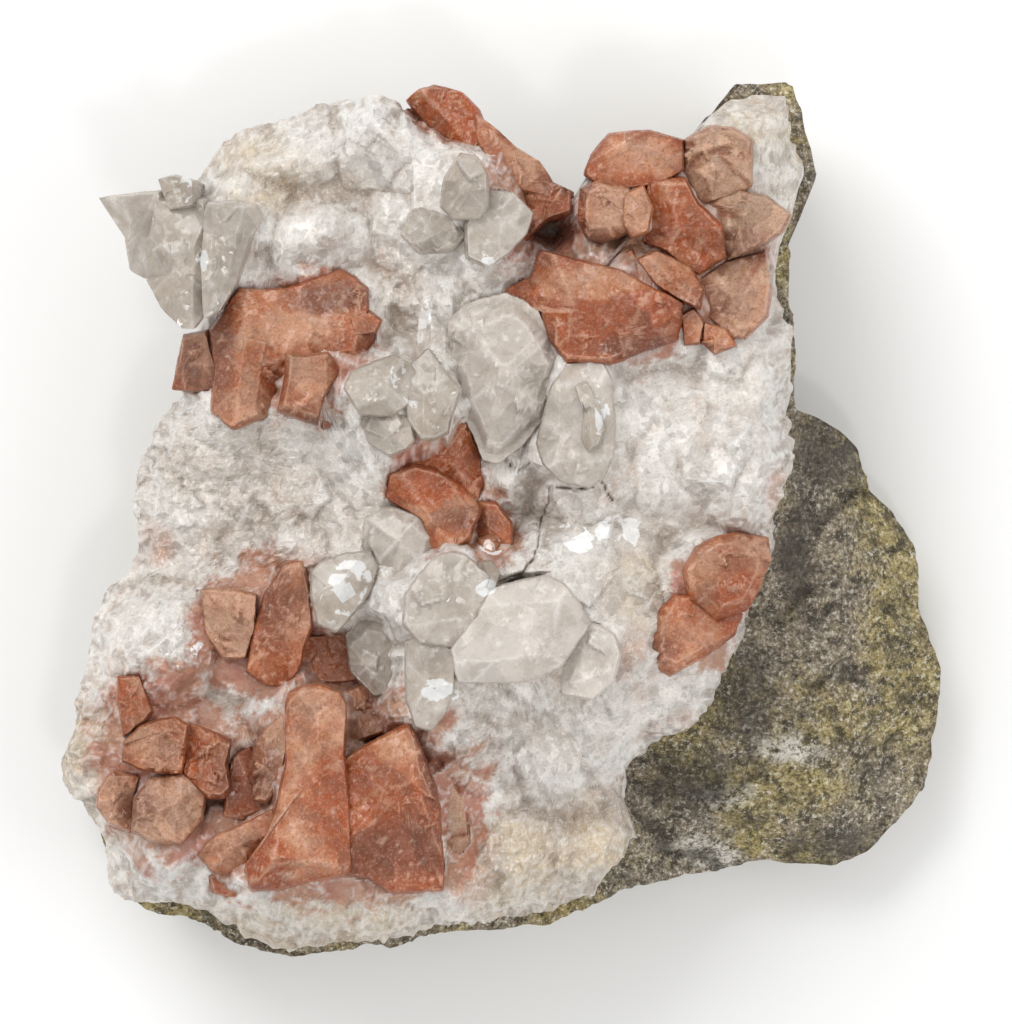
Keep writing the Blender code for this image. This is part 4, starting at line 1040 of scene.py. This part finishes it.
def make_basalt():
    """The basalt's face on the disc lattice, and its flank in rings down to the flat back."""
    share, angle = disc_lattice(BASALT_POINTS)
    share = 1 - (1 - share) ** 1.25
    reach = outline_reach(basalt_outline, hub, angle) * ragged(share, angle, 0.034, 61, 0.16)
    x, y = disc_plan(hub, reach, share, angle)
    z = rock_layer(x, y) - CHIP_SINK
    top = np.stack([x, y, z], axis=2)
    rim = top.reshape(-1, 3)[rim_indices(BASALT_POINTS)]
    arm = rim[:, :2] - hub
    levels = np.linspace(1, 0, BASALT_WALLS + 1)[1:, None]
    height = levels * rim[:, 2]
    along = np.arctan2(arm[:, 1], arm[:, 0]) * BASALT_RADIUS + 0 * height
    proud = broken_slabs(along, height) / SLAB_SIZE
    grit = layered_noise(along, height, 3 * MM, 63, 4)
    inwards = FLANK_ROUGHNESS * np.clip(FLANK_OUT - proud, 0, 2 * FLANK_OUT) + 0.02 * grit
    step = np.interp(levels, FLANK_LEVELS[::-1], FLANK_SHARES[::-1])
    size = step - inwards * np.clip(4 * (1 - levels), 0, 1)
    rings = np.empty((BASALT_WALLS, len(rim), 3))
    rings[..., :2] = hub + arm * size[..., None]
    rings[..., 2] = height
    body = body_arrays(top, rings, [*hub, 0.0])
    # The cavity mark is for painted shade in the rock's hollows.
    marks = {"cavity_shade": spread(hollow(z, 3, 0.3 * MM), body),
             **zone_marks(body, ROCK_ZONES, 5 * MM, 2.0 * MM, 57)}
    return add_mesh("basalt_rock", [body], marks)


basalt = make_basalt()

# %% [markdown]
# ## The large crystals
# A crystal's table entry gives its big faces. Steps, pits and small overgrown crystals on those faces
# keep it from looking cut with a saw, and its walls flare a little under its edge, so the edge is worn
# and not knife-sharp. On the real piece the colour changes within one crystal: embers glow where it is
# thick, painted umber shade lies in recesses, painted highlights make lit faces pale. Ellipses mark them.

# %% Colour zones of the crystals
CRYSTAL_ZONES = {
    # Painted glints, in the same zones as on the crust.
    "painted_glint": COLOUR_ZONES["painted_glint"],
    "ember": [
        ((275, 392), 26, 36), ((345, 805), 54, 74), ((376, 790), 46, 30), ((610, 325), 90, 46),
        ((738, 600), 34, 66), ((445, 478), 50, 36), ((560, 210), 40, 40), ((448, 112), 34, 30),
        ((690, 225), 30, 40), ((270, 860), 30, 30), ((330, 655), 30, 24),
    ],
    # Painted shade: umber in recesses and on faces turned from the light.
    "umber_shade": [
        ((336, 298), 60, 22), ((220, 352), 20, 64), ((404, 850), 60, 40), ((245, 768), 40, 50),
        ((424, 704), 30, 30), ((562, 240), 50, 28), ((606, 250), 44, 18), ((368, 352), 20, 34),
        ((330, 424), 44, 12), ((470, 520), 40, 16), ((560, 188), 34, 22), ((704, 304), 34, 22),
        ((640, 350), 60, 14), ((278, 602), 24, 60), ((190, 360), 18, 30), ((375, 700), 24, 24),
        ((142, 806), 30, 24), ((434, 760), 18, 70), ((745, 240), 40, 20), ((664, 654), 20, 16),
    ],
    # Painted highlights: pale patches on faces and ridges that catch the light.
    "pale": [
        ((322, 702), 36, 28), ((300, 790), 20, 84), ((286, 328), 62, 26), ((398, 748), 36, 20),
        ((622, 212), 54, 30), ((598, 284), 74, 22), ((702, 574), 40, 30), ((206, 350), 20, 20),
        ((160, 800), 50, 34), ((252, 640), 60, 34), ((440, 508), 44, 20), ((642, 158), 54, 24),
        ((738, 180), 60, 50), ((316, 384), 26, 24), ((236, 840), 36, 22), ((250, 400), 18, 34),
        ((520, 165), 26, 30), ((150, 745), 30, 20),
    ],
}
print("zones of", ", ".join(CRYSTAL_ZONES))

# %% Body of a crystal
WALL_RINGS = 10
WALL_CROWDING = 2.2
# Painted shade: a crystal's tone mark deepens with the depth under its top and on its walls.
SINK_TONE = 0.3
SINK_DEPTH = 4 * MM
WALL_SINK, WALL_CAVITY_SHADE = 0.8, 0.25
FLARE, FLARE_DEPTH = 0.4 * MM, 0.8 * MM
POINT_SPACING = 0.14 * MM
FEWEST_POINTS, MOST_POINTS = 34, 84
OVERGROWTH = 0.9 * MM
Layer = namedtuple("Layer", "size seed faces steepness least most")
GEM_BEND, CUBE_BEND = 0.25 * MM, 0.5 * MM
GEM_LAYERS = [Layer(3.2, 7, 5, 0.35, -0.06, 0.14), Layer(1.3, 8, 4, 0.5, -0.3, 0.14)]
CUBE_LAYERS = [Layer(2.6, 5, 3, 0.5, -0.2, 0.04), Layer(1.0, 6, 3, 0.7, -0.35, 0.10)]
ROUGH_RISE = 0.2


def weathered_roof(crystal, roof, middle, reach, seed):
    """The roof pushed about a little by soft noise, with two layers of growth steps on it. On a rough
    chabazite crystal they stand prouder."""
    bend = GEM_BEND if crystal.facets else CUBE_BEND
    prouder = ROUGH_RISE * crystal.rough

    def surface(x, y):
        wave = layered_noise(x, y, 5 * MM, seed + 4, 3)
        return roof(*warped(x, y, 4 * MM, bend, seed + 3)) + wave * 0.5 * bend

    for layer in GEM_LAYERS if crystal.facets else CUBE_LAYERS:
        surface = grown_on(surface, layer.size * MM, seed + layer.seed, layer.faces, layer.steepness,
                           (layer.least, layer.most + prouder), around=middle, reach=reach)
    return surface


def crystal_walls(rim, middle, root, shift):
    """Rings from the crystal's edge down to its root in the crust, close together under the edge,
    where they flare by 1 - e^(fall / depth) times the part of the way that is left."""
    levels = (np.arange(1, WALL_RINGS + 1) / WALL_RINGS)[:, None, None] ** WALL_CROWDING
    arm = rim[:, :2] - middle
    foot = middle + arm * root + shift
    outwards = arm / np.linalg.norm(arm, axis=1)[:, None]
    rings = np.empty((WALL_RINGS, len(rim), 3))
    rings[..., 2:] = rim[:, 2:] * (1 - levels) + CRYSTAL_ROOT * levels
    flare = FLARE * (1 - np.exp((rings[..., 2:] - rim[:, 2:]) / FLARE_DEPTH)) * (1 - levels)
    rings[..., :2] = rim[:, :2] * (1 - levels) + foot * levels + outwards * flare
    return rings


def crystal_body(crystal, shape, seed):
    """A closed crystal on the disc lattice, and the marks that its finish reads. Its tone mark adds
    painted shade, deeper the further a place lies under the crystal's top and on its walls, to its own
    tone; on analcime the same addition makes it milkier."""
    roof, girdle, middle = shape
    width = np.linalg.norm(girdle - middle, axis=1)
    count = int(np.clip(width.mean() / POINT_SPACING, FEWEST_POINTS, MOST_POINTS))
    share, angle = disc_lattice(count)
    reach = outline_reach(girdle, middle, angle) * ragged(share, angle, 0.05, seed, 0.35) - 0.3 * FLARE
    x, y = disc_plan(middle, reach, share, angle)
    plain = roof(x, y)
    z = weathered_roof(crystal, roof, middle, width.max() + 2 * MM, seed)(x, y)
    z = np.minimum(z, plain + OVERGROWTH)
    z = z + np.random.default_rng(seed).uniform(-1, 1, z.shape) * 0.3 * GRAIN
    top = np.stack([x, y, z], axis=2)
    rim = top.reshape(-1, 3)[rim_indices(count)]
    shift = np.array([crystal.shift[0], -crystal.shift[1]]) * PX
    walls = crystal_walls(rim, middle, crystal.root, shift)
    body = body_arrays(top, walls, [*(middle + shift), CRYSTAL_ROOT])
    # Painted shade: the tone deepens with the depth under the crystal's top, and on the walls.
    sink = spread(np.clip((plain.max() - z) / SINK_DEPTH, 0, 1.3), body, WALL_SINK)
    # Marks for painted light: edge gives painted highlights on ridges, cavity gives painted shade in
    # hollows, with a little of that shade on the walls.
    marks = {"edge": spread(np.clip((z - blurred(z, 1)) / (0.06 * MM), 0, 1), body),
             "cavity_shade": spread(hollow(z, 4, 0.25 * MM, 0), body, WALL_CAVITY_SHADE),
             "tone": crystal.tone + SINK_TONE * sink, "tan": np.full(len(body[0]), crystal.tan),
             **zone_marks(body, CRYSTAL_ZONES, 4 * MM, 1.2 * MM, 48)}
    return body, marks


# %% Groups of crystals
CRYSTAL_SHARP_ANGLE = 14


def make_cluster(node, crystals, seed):
    """The crystals of one group, each a closed body, in one object."""
    made = [crystal_body(crystal, roofs[node][k], seed + 17 * k) for k, crystal in enumerate(crystals)]
    marks = {key: np.concatenate([own[key] for _, own in made]) for key in made[0][1]}
    piece = add_mesh(f"{node}_crystals", [body for body, _ in made], marks)
    piece.data.set_sharp_from_angle(angle=radians(CRYSTAL_SHARP_ANGLE))
    return piece


def make_clusters(groups, seed):
    """The objects of all groups of one mineral, by the node that each stands for."""
    seeds = range(seed, seed + 40 * len(groups), 40)
    return {node: make_cluster(node, groups[node], own) for node, own in zip(groups, seeds)}


chabazite_pieces = make_clusters(CHABAZITE, 100)
analcime_pieces = make_clusters(ANALCIME, 600)

# %% [markdown]
# ## How the finishes work
# All finishes are worked out by nodes, so they have detail at any distance. A painted picture would fit
# only one side and one size. A finish starts with one colour, and each layer goes over it where a
# noise, a pattern of cells or a mark on the mesh says so. The marks came with the surfaces: hollows,
# edges, and the listed zones. Crystal faces that are too fine for the mesh tilt the surface
# cell by cell: each cell of a Voronoi pattern adds its own constant tilt, so it catches the light as
# one flat face.

# %% A finish in layers
# Cells and colour of the painted glints.
GLINT_CELLS = 520
GLINT_WHITE = (0.93, 0.93, 0.92, 1)


class Finish:
    """A material in the making. It keeps one running colour, and each layer goes over it."""

    def __init__(self, name, colour):
        self.material = bpy.data.materials.new(name)
        self.material.use_nodes = True
        self.tree = self.material.node_tree
        self.colour = colour

    def connect(self, node, inputs):
        """Links each named input of a node to the given socket, or sets it to the given value."""
        for key, value in inputs.items():
            if isinstance(value, bpy.types.NodeSocket):
                self.tree.links.new(value, node.inputs[key])
            else:
                node.inputs[key].default_value = value
        return node

    def node(self, kind, inputs=None, **settings):
        """A node of the given kind with its settings, and with links or values at its inputs."""
        node = self.tree.nodes.new(kind)
        for key, value in settings.items():
            setattr(node, key, value)
        return self.connect(node, inputs or {})

    def calculate(self, operation, first, second, clamp=False):
        inputs = {0: first, 1: second}
        return self.node("ShaderNodeMath", inputs, operation=operation, use_clamp=clamp).outputs[0]

    def vector(self, operation, inputs):
        return self.node("ShaderNodeVectorMath", inputs, operation=operation).outputs[0]

    def mark(self, key, strength=None):
        """A mark that the mesh carries at each vertex, as it is or times a strength."""
        value = self.node("ShaderNodeAttribute", attribute_name=key).outputs["Fac"]
        return self.calculate("MULTIPLY", value, strength) if strength else value

    def point(self):
        return self.node("ShaderNodeTexCoord").outputs["Object"]

    def noise(self, scale, detail, roughness=0.55):
        inputs = {"Vector": self.point(), "Scale": scale, "Detail": detail, "Roughness": roughness}
        return self.node("ShaderNodeTexNoise", inputs).outputs["Fac"]

    def cells(self, scale, randomness=1.0):
        """A random colour for each cell of a Voronoi pattern."""
        inputs = {"Vector": self.point(), "Scale": scale, "Randomness": randomness}
        return self.node("ShaderNodeTexVoronoi", inputs).outputs["Color"]

    def stretch(self, value, low, high, to_low=0.0, to_high=1.0):
        """Stretches the range low to high onto to_low to to_high, and stops at its ends."""
        inputs = {"Value": value, "From Min": low, "From Max": high, "To Min": to_low, "To Max": to_high}
        return self.node("ShaderNodeMapRange", inputs).outputs["Result"]

    def blend(self, factor, first, second, how="MIX"):
        """Mixes two colours by a factor. A mix node keeps its colour inputs at places 6 and 7."""
        inputs = {0: factor, 6: first, 7: second}
        return self.node("ShaderNodeMix", inputs, data_type="RGBA", blend_type=how).outputs[2]

    def layer(self, factor, tint):
        """Lays a tint over the running colour, as strongly as the factor says."""
        self.colour = self.blend(factor, self.colour, tint)

    def painted_facet_shade(self, scale, dark, light):
        """Painted shade for small faces: each cell gets its own shade, as if neighbouring crystal faces
        caught the light differently.
        """
        shade = self.stretch(self.cells(scale), 0.2, 0.8, dark, light)
        tint = self.node("ShaderNodeCombineColor", {0: shade, 1: shade, 2: shade}).outputs[0]
        self.colour = self.blend(1.0, self.colour, tint, "MULTIPLY")

    def glints(self, clouds, tint):
        """Painted glints: crisp flat patches in the glint zones, whole cells, some lit and some not."""
        uneven = self.stretch(clouds, 0.35, 0.65, 0.25, -0.25)
        chosen = self.calculate("ADD", self.cells(GLINT_CELLS, 0.9), uneven)
        torn = self.stretch(clouds, 0.35, 0.65, 0.3, -0.5)
        zone = self.calculate("ADD", self.mark("painted_glint"), torn)
        lit = self.calculate("MULTIPLY", self.stretch(zone, 0.3, 0.4), self.stretch(chosen, 0.44, 0.5))
        self.layer(self.calculate("MULTIPLY", lit, 0.9), tint)

    def tilted(self, scale, tilt, normal=None):
        """A normal plus a constant tilt for each cell: the cell's random colour less a half, times
        the tilt."""
        start = normal or self.node("ShaderNodeNewGeometry").outputs["Normal"]
        push = self.vector("SUBTRACT", {0: self.cells(scale), 1: (0.5, 0.5, 0.5)})
        push = self.vector("SCALE", {0: push, "Scale": tilt})
        return self.vector("NORMALIZE", {0: self.vector("ADD", {0: start, 1: push})})

    def finished(self, inputs):
        """Gives the shader the running colour and its other inputs, and returns the material."""
        shader = self.tree.nodes["Principled BSDF"]
        self.connect(shader, {"Base Color": self.colour, **inputs})
        print(self.material.name, "has", len(self.tree.nodes), "nodes")
        return self.material


# %% [markdown]
# ## Milky zeolite
# The crust is white where its crystals are full of tiny bubbles, greyer where they are clear, cream
# where iron stained it and salmon beside the chabazite. The light that scatters inside it could be
# traced, but a crust of small crystals looks the same with a pale surface that is finely mottled, and
# that takes far less time to render.

# %% Milky zeolite
def zeolite_material():
    """White zeolite: clearer clouds, stained zones, painted shade in hollows, a fine grain, salmon beside
    the chabazite, a painted shade for each small face, painted highlights on edges, painted glints and
    dark cracks."""
    white, clear = (0.72, 0.685, 0.64, 1), (0.53, 0.455, 0.385, 1)
    cream, blush = (0.55, 0.44, 0.30, 1), (0.48, 0.25, 0.16, 1)
    salmon, faded_salmon = (0.42, 0.13, 0.07, 1), (0.48, 0.25, 0.15, 1)
    finish = Finish("milky_zeolite", white)
    clouds = finish.noise(210, 4, 0.7)
    patches = finish.noise(90, 3, 0.7)
    grain = finish.noise(3200, 2, 0.8)
    finish.layer(finish.stretch(clouds, 0.44, 0.66, 0.0, 0.65), clear)
    for zone, pattern, low, high, least, most, tint in (
            ("grey", clouds, 0.35, 0.6, 0.1, 0.7, clear),
            ("cream", patches, 0.36, 0.58, 0.15, 0.9, cream),
            ("blush", patches, 0.42, 0.58, 0.05, 0.95, blush)):
        uneven = finish.stretch(pattern, low, high, least, most)
        finish.layer(finish.calculate("MULTIPLY", finish.mark(zone), uneven), tint)
    # Painted shade in small and in wide hollows, from the cavity and deep marks.
    finish.layer(finish.stretch(finish.mark("cavity_shade"), 0.15, 0.9, 0.0, 0.4), (0.36, 0.29, 0.23, 1))
    finish.layer(finish.stretch(finish.mark("deep"), 0.3, 1.0, 0.0, 0.3), (0.40, 0.30, 0.23, 1))
    finish.layer(finish.stretch(grain, 0.28, 0.46, 0.55, 0.0), (0.34, 0.29, 0.25, 1))
    finish.layer(finish.stretch(grain, 0.56, 0.68, 0.0, 0.7), (0.80, 0.79, 0.76, 1))
    rusty = finish.blend(finish.stretch(patches, 0.4, 0.6), salmon, faded_salmon)
    rusty = finish.blend(finish.stretch(grain, 0.35, 0.65, 0.3, 0.0), rusty, (0.2, 0.06, 0.03, 1))
    uneven = finish.stretch(clouds, 0.35, 0.65, -0.35, 0.35)
    torn_zone = finish.calculate("ADD", finish.mark("salmon"), uneven)
    finish.layer(finish.stretch(torn_zone, 0.3, 0.6, 0.0, 0.85), rusty)
    # Painted shade for small faces, at two sizes.
    finish.painted_facet_shade(300, 0.92, 1.04)
    finish.painted_facet_shade(1200, 0.86, 1.06)
    # Painted highlight on the crests of small crystals.
    finish.layer(finish.mark("edge", 0.35), (0.82, 0.81, 0.79, 1))
    # Painted glints.
    finish.glints(clouds, GLINT_WHITE)
    finish.layer(finish.stretch(finish.mark("crack"), 0.45, 0.8, 0.0, 0.9), (0.22, 0.17, 0.13, 1))
    normal = finish.tilted(300, 0.3, finish.tilted(1200, 0.4))
    return finish.finished({"Roughness": 0.3, "IOR": 1.49, "Normal": normal})


# %% [markdown]
# ## Analcime
# Real analcime is clear like glass where it is pure and milky where it holds bubbles and cracks. Light
# passes through the clear parts and scatters in the milky ones, so one mark of milkiness steers how
# much passes through, how rough the surface is and how pale it looks.

# %% Analcime
def analcime_material():
    """Clear analcime with milky clouds, tan where it stands in shade, a painted shade for each small face,
    painted highlights on edges, painted shade in the hollows of its steps, a fine grain and painted
    glints."""
    finish = Finish("clear_analcime", (0.56, 0.475, 0.385, 1))
    clouds = finish.noise(230, 4, 0.7)
    grain = finish.noise(3200, 2, 0.75)
    uneven = finish.stretch(clouds, 0.36, 0.64, 0.35, -0.2)
    milky = finish.calculate("ADD", uneven, finish.mark("tone"), clamp=True)
    finish.layer(milky, (0.61, 0.555, 0.50, 1))
    # Painted shade for small faces.
    finish.painted_facet_shade(260, 0.9, 1.08)
    finish.layer(finish.mark("tan", 0.7), (0.36, 0.29, 0.23, 1))
    # Painted highlight on ridges.
    finish.layer(finish.mark("edge", 0.5), (0.86, 0.83, 0.79, 1))
    # Painted shade in the hollows between the steps.
    finish.layer(finish.mark("cavity_shade", 0.35), (0.38, 0.33, 0.28, 1))
    finish.layer(finish.stretch(grain, 0.30, 0.46, 0.4, 0.0), (0.40, 0.35, 0.30, 1))
    # Painted glints.
    finish.glints(clouds, GLINT_WHITE)
    return finish.finished({
        "Transmission Weight": finish.stretch(milky, 0.0, 1.0, 0.5, 0.05),
        "Roughness": finish.stretch(milky, 0.0, 1.0, 0.12, 0.3), "IOR": 1.487,
        "Subsurface Weight": 0.3, "Subsurface Radius": (1.0, 0.9, 0.8), "Subsurface Scale": 0.8 * MM,
        "Normal": finish.tilted(260, 0.25, finish.tilted(1200, 0.2))})


# %% [markdown]
# ## Chabazite
# Iron makes this chabazite salmon. Painted shade makes it deeper in its hollows and down its flanks,
# and painted highlights make it pale at its edges and on some faces. Red light travels further through
# it than blue, which subsurface scattering gives. The deeper, darker and paler places were marked one
# by one, because each crystal of the real piece has its own.

# %% Chabazite
def chabazite_material():
    """Salmon chabazite: from pale to deep orange by its tone, which carries painted shade low on each
    crystal, with deeper orange in the ember zones and painted highlights in the pale zones, smoky and
    pale growth zones, tan faces, painted shade in hollows, painted umber shade, painted highlights on
    edges, a painted shade for each small face, a fine grain and small painted glints."""
    pale, salmon = (0.50, 0.25, 0.145, 1), (0.40, 0.13, 0.05, 1)
    deep, tan = (0.33, 0.065, 0.01, 1), (0.46, 0.31, 0.21, 1)
    finish = Finish("salmon_chabazite", pale)
    clouds = finish.noise(110, 4, 0.72)
    smoke = finish.noise(260, 3, 0.75)
    grain = finish.noise(3400, 2, 0.8)
    # Ember zones deepen the orange; pale zones are painted highlights.
    drift = finish.calculate("SUBTRACT", finish.mark("ember", 0.8), finish.mark("pale", 0.45))
    uneven = finish.stretch(clouds, 0.34, 0.66, -0.6, 0.5)
    tone = finish.calculate("ADD", finish.mark("tone"), uneven)
    tone = finish.calculate("ADD", tone, drift, clamp=True)
    finish.layer(finish.stretch(tone, 0.0, 0.55), salmon)
    finish.layer(finish.stretch(tone, 0.5, 0.95, 0.0, 0.95), deep)
    finish.layer(finish.stretch(smoke, 0.5, 0.66, 0.0, 0.55), (0.20, 0.085, 0.05, 1))
    finish.layer(finish.stretch(smoke, 0.32, 0.46, 0.5, 0.0), (0.58, 0.33, 0.21, 1))
    smoky = finish.stretch(smoke, 0.35, 0.6, 1.3, 0.7)
    finish.layer(finish.calculate("MULTIPLY", finish.mark("tan"), smoky, clamp=True), tan)
    # Painted shade in hollows.
    finish.layer(finish.stretch(finish.mark("cavity_shade"), 0.1, 0.9, 0.0, 0.6), (0.24, 0.05, 0.018, 1))
    # Painted umber shade in recesses and on faces turned from the light.
    uneven = finish.stretch(smoke, 0.35, 0.6, 0.9, 0.5)
    finish.layer(finish.calculate("MULTIPLY", finish.mark("umber_shade"), uneven), (0.17, 0.055, 0.032, 1))
    # Painted highlight on ridges.
    finish.layer(finish.mark("edge", 0.55), (0.66, 0.40, 0.28, 1))
    finish.layer(finish.stretch(grain, 0.54, 0.68, 0.0, 0.45), (0.62, 0.35, 0.23, 1))
    finish.layer(finish.stretch(grain, 0.34, 0.46, 0.5, 0.0), (0.19, 0.05, 0.018, 1))
    # Painted shade for small faces.
    finish.painted_facet_shade(330, 0.8, 1.04)
    # Painted glints, tinted.
    finish.glints(clouds, (0.88, 0.76, 0.70, 1))
    return finish.finished({
        "Roughness": finish.stretch(smoke, 0.35, 0.65, 0.22, 0.5), "IOR": 1.48,
        "Subsurface Weight": 0.2, "Subsurface Radius": (1.0, 0.45, 0.25), "Subsurface Scale": 0.9 * MM,
        "Normal": finish.tilted(330, 0.2, finish.tilted(1500, 0.5))})


# %% [markdown]
# ## Basalt
# Weathered basalt is a brown-grey ground with pale feldspar specks and black grains, olive where its
# minerals rotted and chalky where zeolite is left on it. Two noises of different size make the specks.
# Its grains also stand out a little, which is the one place here where a bump is finer than the mesh
# can be.

# %% Basalt
def basalt_material():
    """Brown-grey basalt with olive and chalky zones, dark zones that are partly dark rock and partly
    painted shade beside the crust, black and pale grains and painted shade in hollows.
    """
    ground, dark = (0.34, 0.28, 0.20, 1), (0.035, 0.028, 0.02, 1)
    olive, pale, chalk = (0.50, 0.40, 0.14, 1), (0.90, 0.86, 0.76, 1), (0.78, 0.74, 0.64, 1)
    finish = Finish("weathered_basalt", ground)
    grain = finish.noise(1900, 3, 0.85)
    crumbs = finish.noise(620, 3, 0.8)
    patches = finish.noise(75, 5, 0.75)
    stained = finish.calculate(
        "ADD", finish.stretch(patches, 0.46, 0.6), finish.mark("olive", 0.8), clamp=True)
    finish.layer(finish.calculate("MULTIPLY", stained, 0.8), olive)
    uneven = finish.stretch(crumbs, 0.4, 0.55)
    finish.layer(finish.calculate("MULTIPLY", finish.mark("chalk"), uneven), chalk)
    clouds = finish.noise(140, 4, 0.7)
    finish.layer(finish.stretch(clouds, 0.5, 0.66, 0.0, 0.7), (0.11, 0.095, 0.075, 1))
    finish.layer(finish.stretch(crumbs, 0.38, 0.5, 0.75, 0.0), dark)
    finish.layer(finish.stretch(grain, 0.38, 0.5, 0.75, 0.0), dark)
    finish.layer(finish.stretch(grain, 0.55, 0.64, 0.0, 0.7), pale)
    # Painted shade in the hollows of the rock.
    finish.layer(finish.stretch(finish.mark("cavity_shade"), 0.1, 1.0, 0.0, 0.7), dark)
    # Dark zones: partly dark rock, partly painted shade beside the crust.
    uneven = finish.stretch(patches, 0.35, 0.6, 0.8, 0.4)
    finish.layer(finish.calculate("MULTIPLY", finish.mark("dark"), uneven), (0.05, 0.042, 0.034, 1))
    grit = {"Height": grain, "Strength": 0.8, "Distance": 0.6 * MM}
    bumpy = finish.node("ShaderNodeBump", grit).outputs["Normal"]
    return finish.finished({"Roughness": 0.8, "Normal": finish.tilted(2000, 0.6, bumpy)})


# %% [markdown]
# ## Dressing the pieces
# Each finished piece takes the place of its plain solid and moves with it. The whole specimen is one
# rigid thing, so every piece rides on the same body, and pieces of one mineral share one material.

# %% Dress the pieces
finishes = {
    "milky_crust": zeolite_material(), "analcime": analcime_material(),
    "chabazite": chabazite_material(), "basalt": basalt_material(),
}


def dress(piece, slot, *nodes):
    """Gives a piece its material, lets it ride, and hides the plain solids of its nodes."""
    piece.data.materials.append(finishes[slot])
    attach(piece, "root")
    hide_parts(*nodes)


dress(crust, "milky_crust", "white_crust")
dress(basalt, "basalt", "basalt_matrix")
for node, piece in chabazite_pieces.items():
    dress(piece, "chabazite", node)
for node, piece in analcime_pieces.items():
    dress(piece, "analcime", node)
print(2 + len(chabazite_pieces) + len(analcime_pieces), "pieces in", len(finishes), "finishes")

# %% [markdown]
# ## Studio
# The photograph looks straight down on the crystals in soft light on white. A long lens from far away
# keeps the outline free of perspective, and large lamps give soft shading. One smaller lamp near the
# camera's axis puts glints on the faces that look at it.

# %% Floor
FLOOR_HALF = 6.0
floor_mesh = bpy.data.meshes.new("floor")
floor_mesh.from_pydata(
    [(-FLOOR_HALF, -FLOOR_HALF, 0), (FLOOR_HALF, -FLOOR_HALF, 0),
     (FLOOR_HALF, FLOOR_HALF, 0), (-FLOOR_HALF, FLOOR_HALF, 0)],
    [], [(0, 1, 2, 3)])
floor = bpy.data.objects.new("floor", floor_mesh)
bpy.context.scene.collection.objects.link(floor)
paper = Finish("pale_paper", (0.93, 0.93, 0.925, 1))
paper.layer(paper.noise(8, 2), (0.91, 0.91, 0.905, 1))
floor_mesh.materials.append(paper.finished({"Roughness": 0.9}))
print("the floor is", 2 * FLOOR_HALF, "m wide")

# %% Camera
IMAGE_WIDTH, IMAGE_HEIGHT = 1012, 1024
CAMERA_HEIGHT = 3.0
SHARP_HEIGHT = 30 * MM
SENSOR = 36.0
camera_data = bpy.data.cameras.new("camera")
camera_data.sensor_fit = "VERTICAL"
camera_data.sensor_height = SENSOR
camera_data.lens = SENSOR * (CAMERA_HEIGHT - SHARP_HEIGHT) / (IMAGE_HEIGHT * PX)
camera = bpy.data.objects.new("camera", camera_data)
bpy.context.scene.collection.objects.link(camera)
camera.location = (*plan((IMAGE_WIDTH / 2, IMAGE_HEIGHT / 2)), CAMERA_HEIGHT)
bpy.context.scene.camera = camera
print("the lens is", round(camera_data.lens), "mm long")

# %% Lamps
Lamp = namedtuple("Lamp", "name place size power")
LAMPS = [
    Lamp("key_lamp", (-0.6, 0.85, 1.1), 0.9, 12),
    Lamp("fill_lamp", (0.9, -0.2, 1.0), 0.9, 3.5),
    Lamp("glint_lamp", (0.1, -0.35, 1.4), 0.12, 1.6),
]
LIT_PLACE = Vector((0, 0, 0.02))
WORLD_STRENGTH = 0.70
for name, place, size, power in LAMPS:
    data = bpy.data.lights.new(name, "AREA")
    data.size = size
    data.energy = power
    lamp = bpy.data.objects.new(name, data)
    lamp.location = place
    lamp.rotation_euler = (LIT_PLACE - Vector(place)).to_track_quat("-Z", "Y").to_euler()
    lamp.visible_camera = False
    bpy.context.scene.collection.objects.link(lamp)
world = bpy.data.worlds.new("studio")
world.use_nodes = True
world.node_tree.nodes["Background"].inputs["Color"].default_value = (1, 1, 1, 1)
world.node_tree.nodes["Background"].inputs["Strength"].default_value = WORLD_STRENGTH
bpy.context.scene.world = world
bpy.context.scene.view_settings.view_transform = "Standard"
print(len(LAMPS), "lamps and a white world")
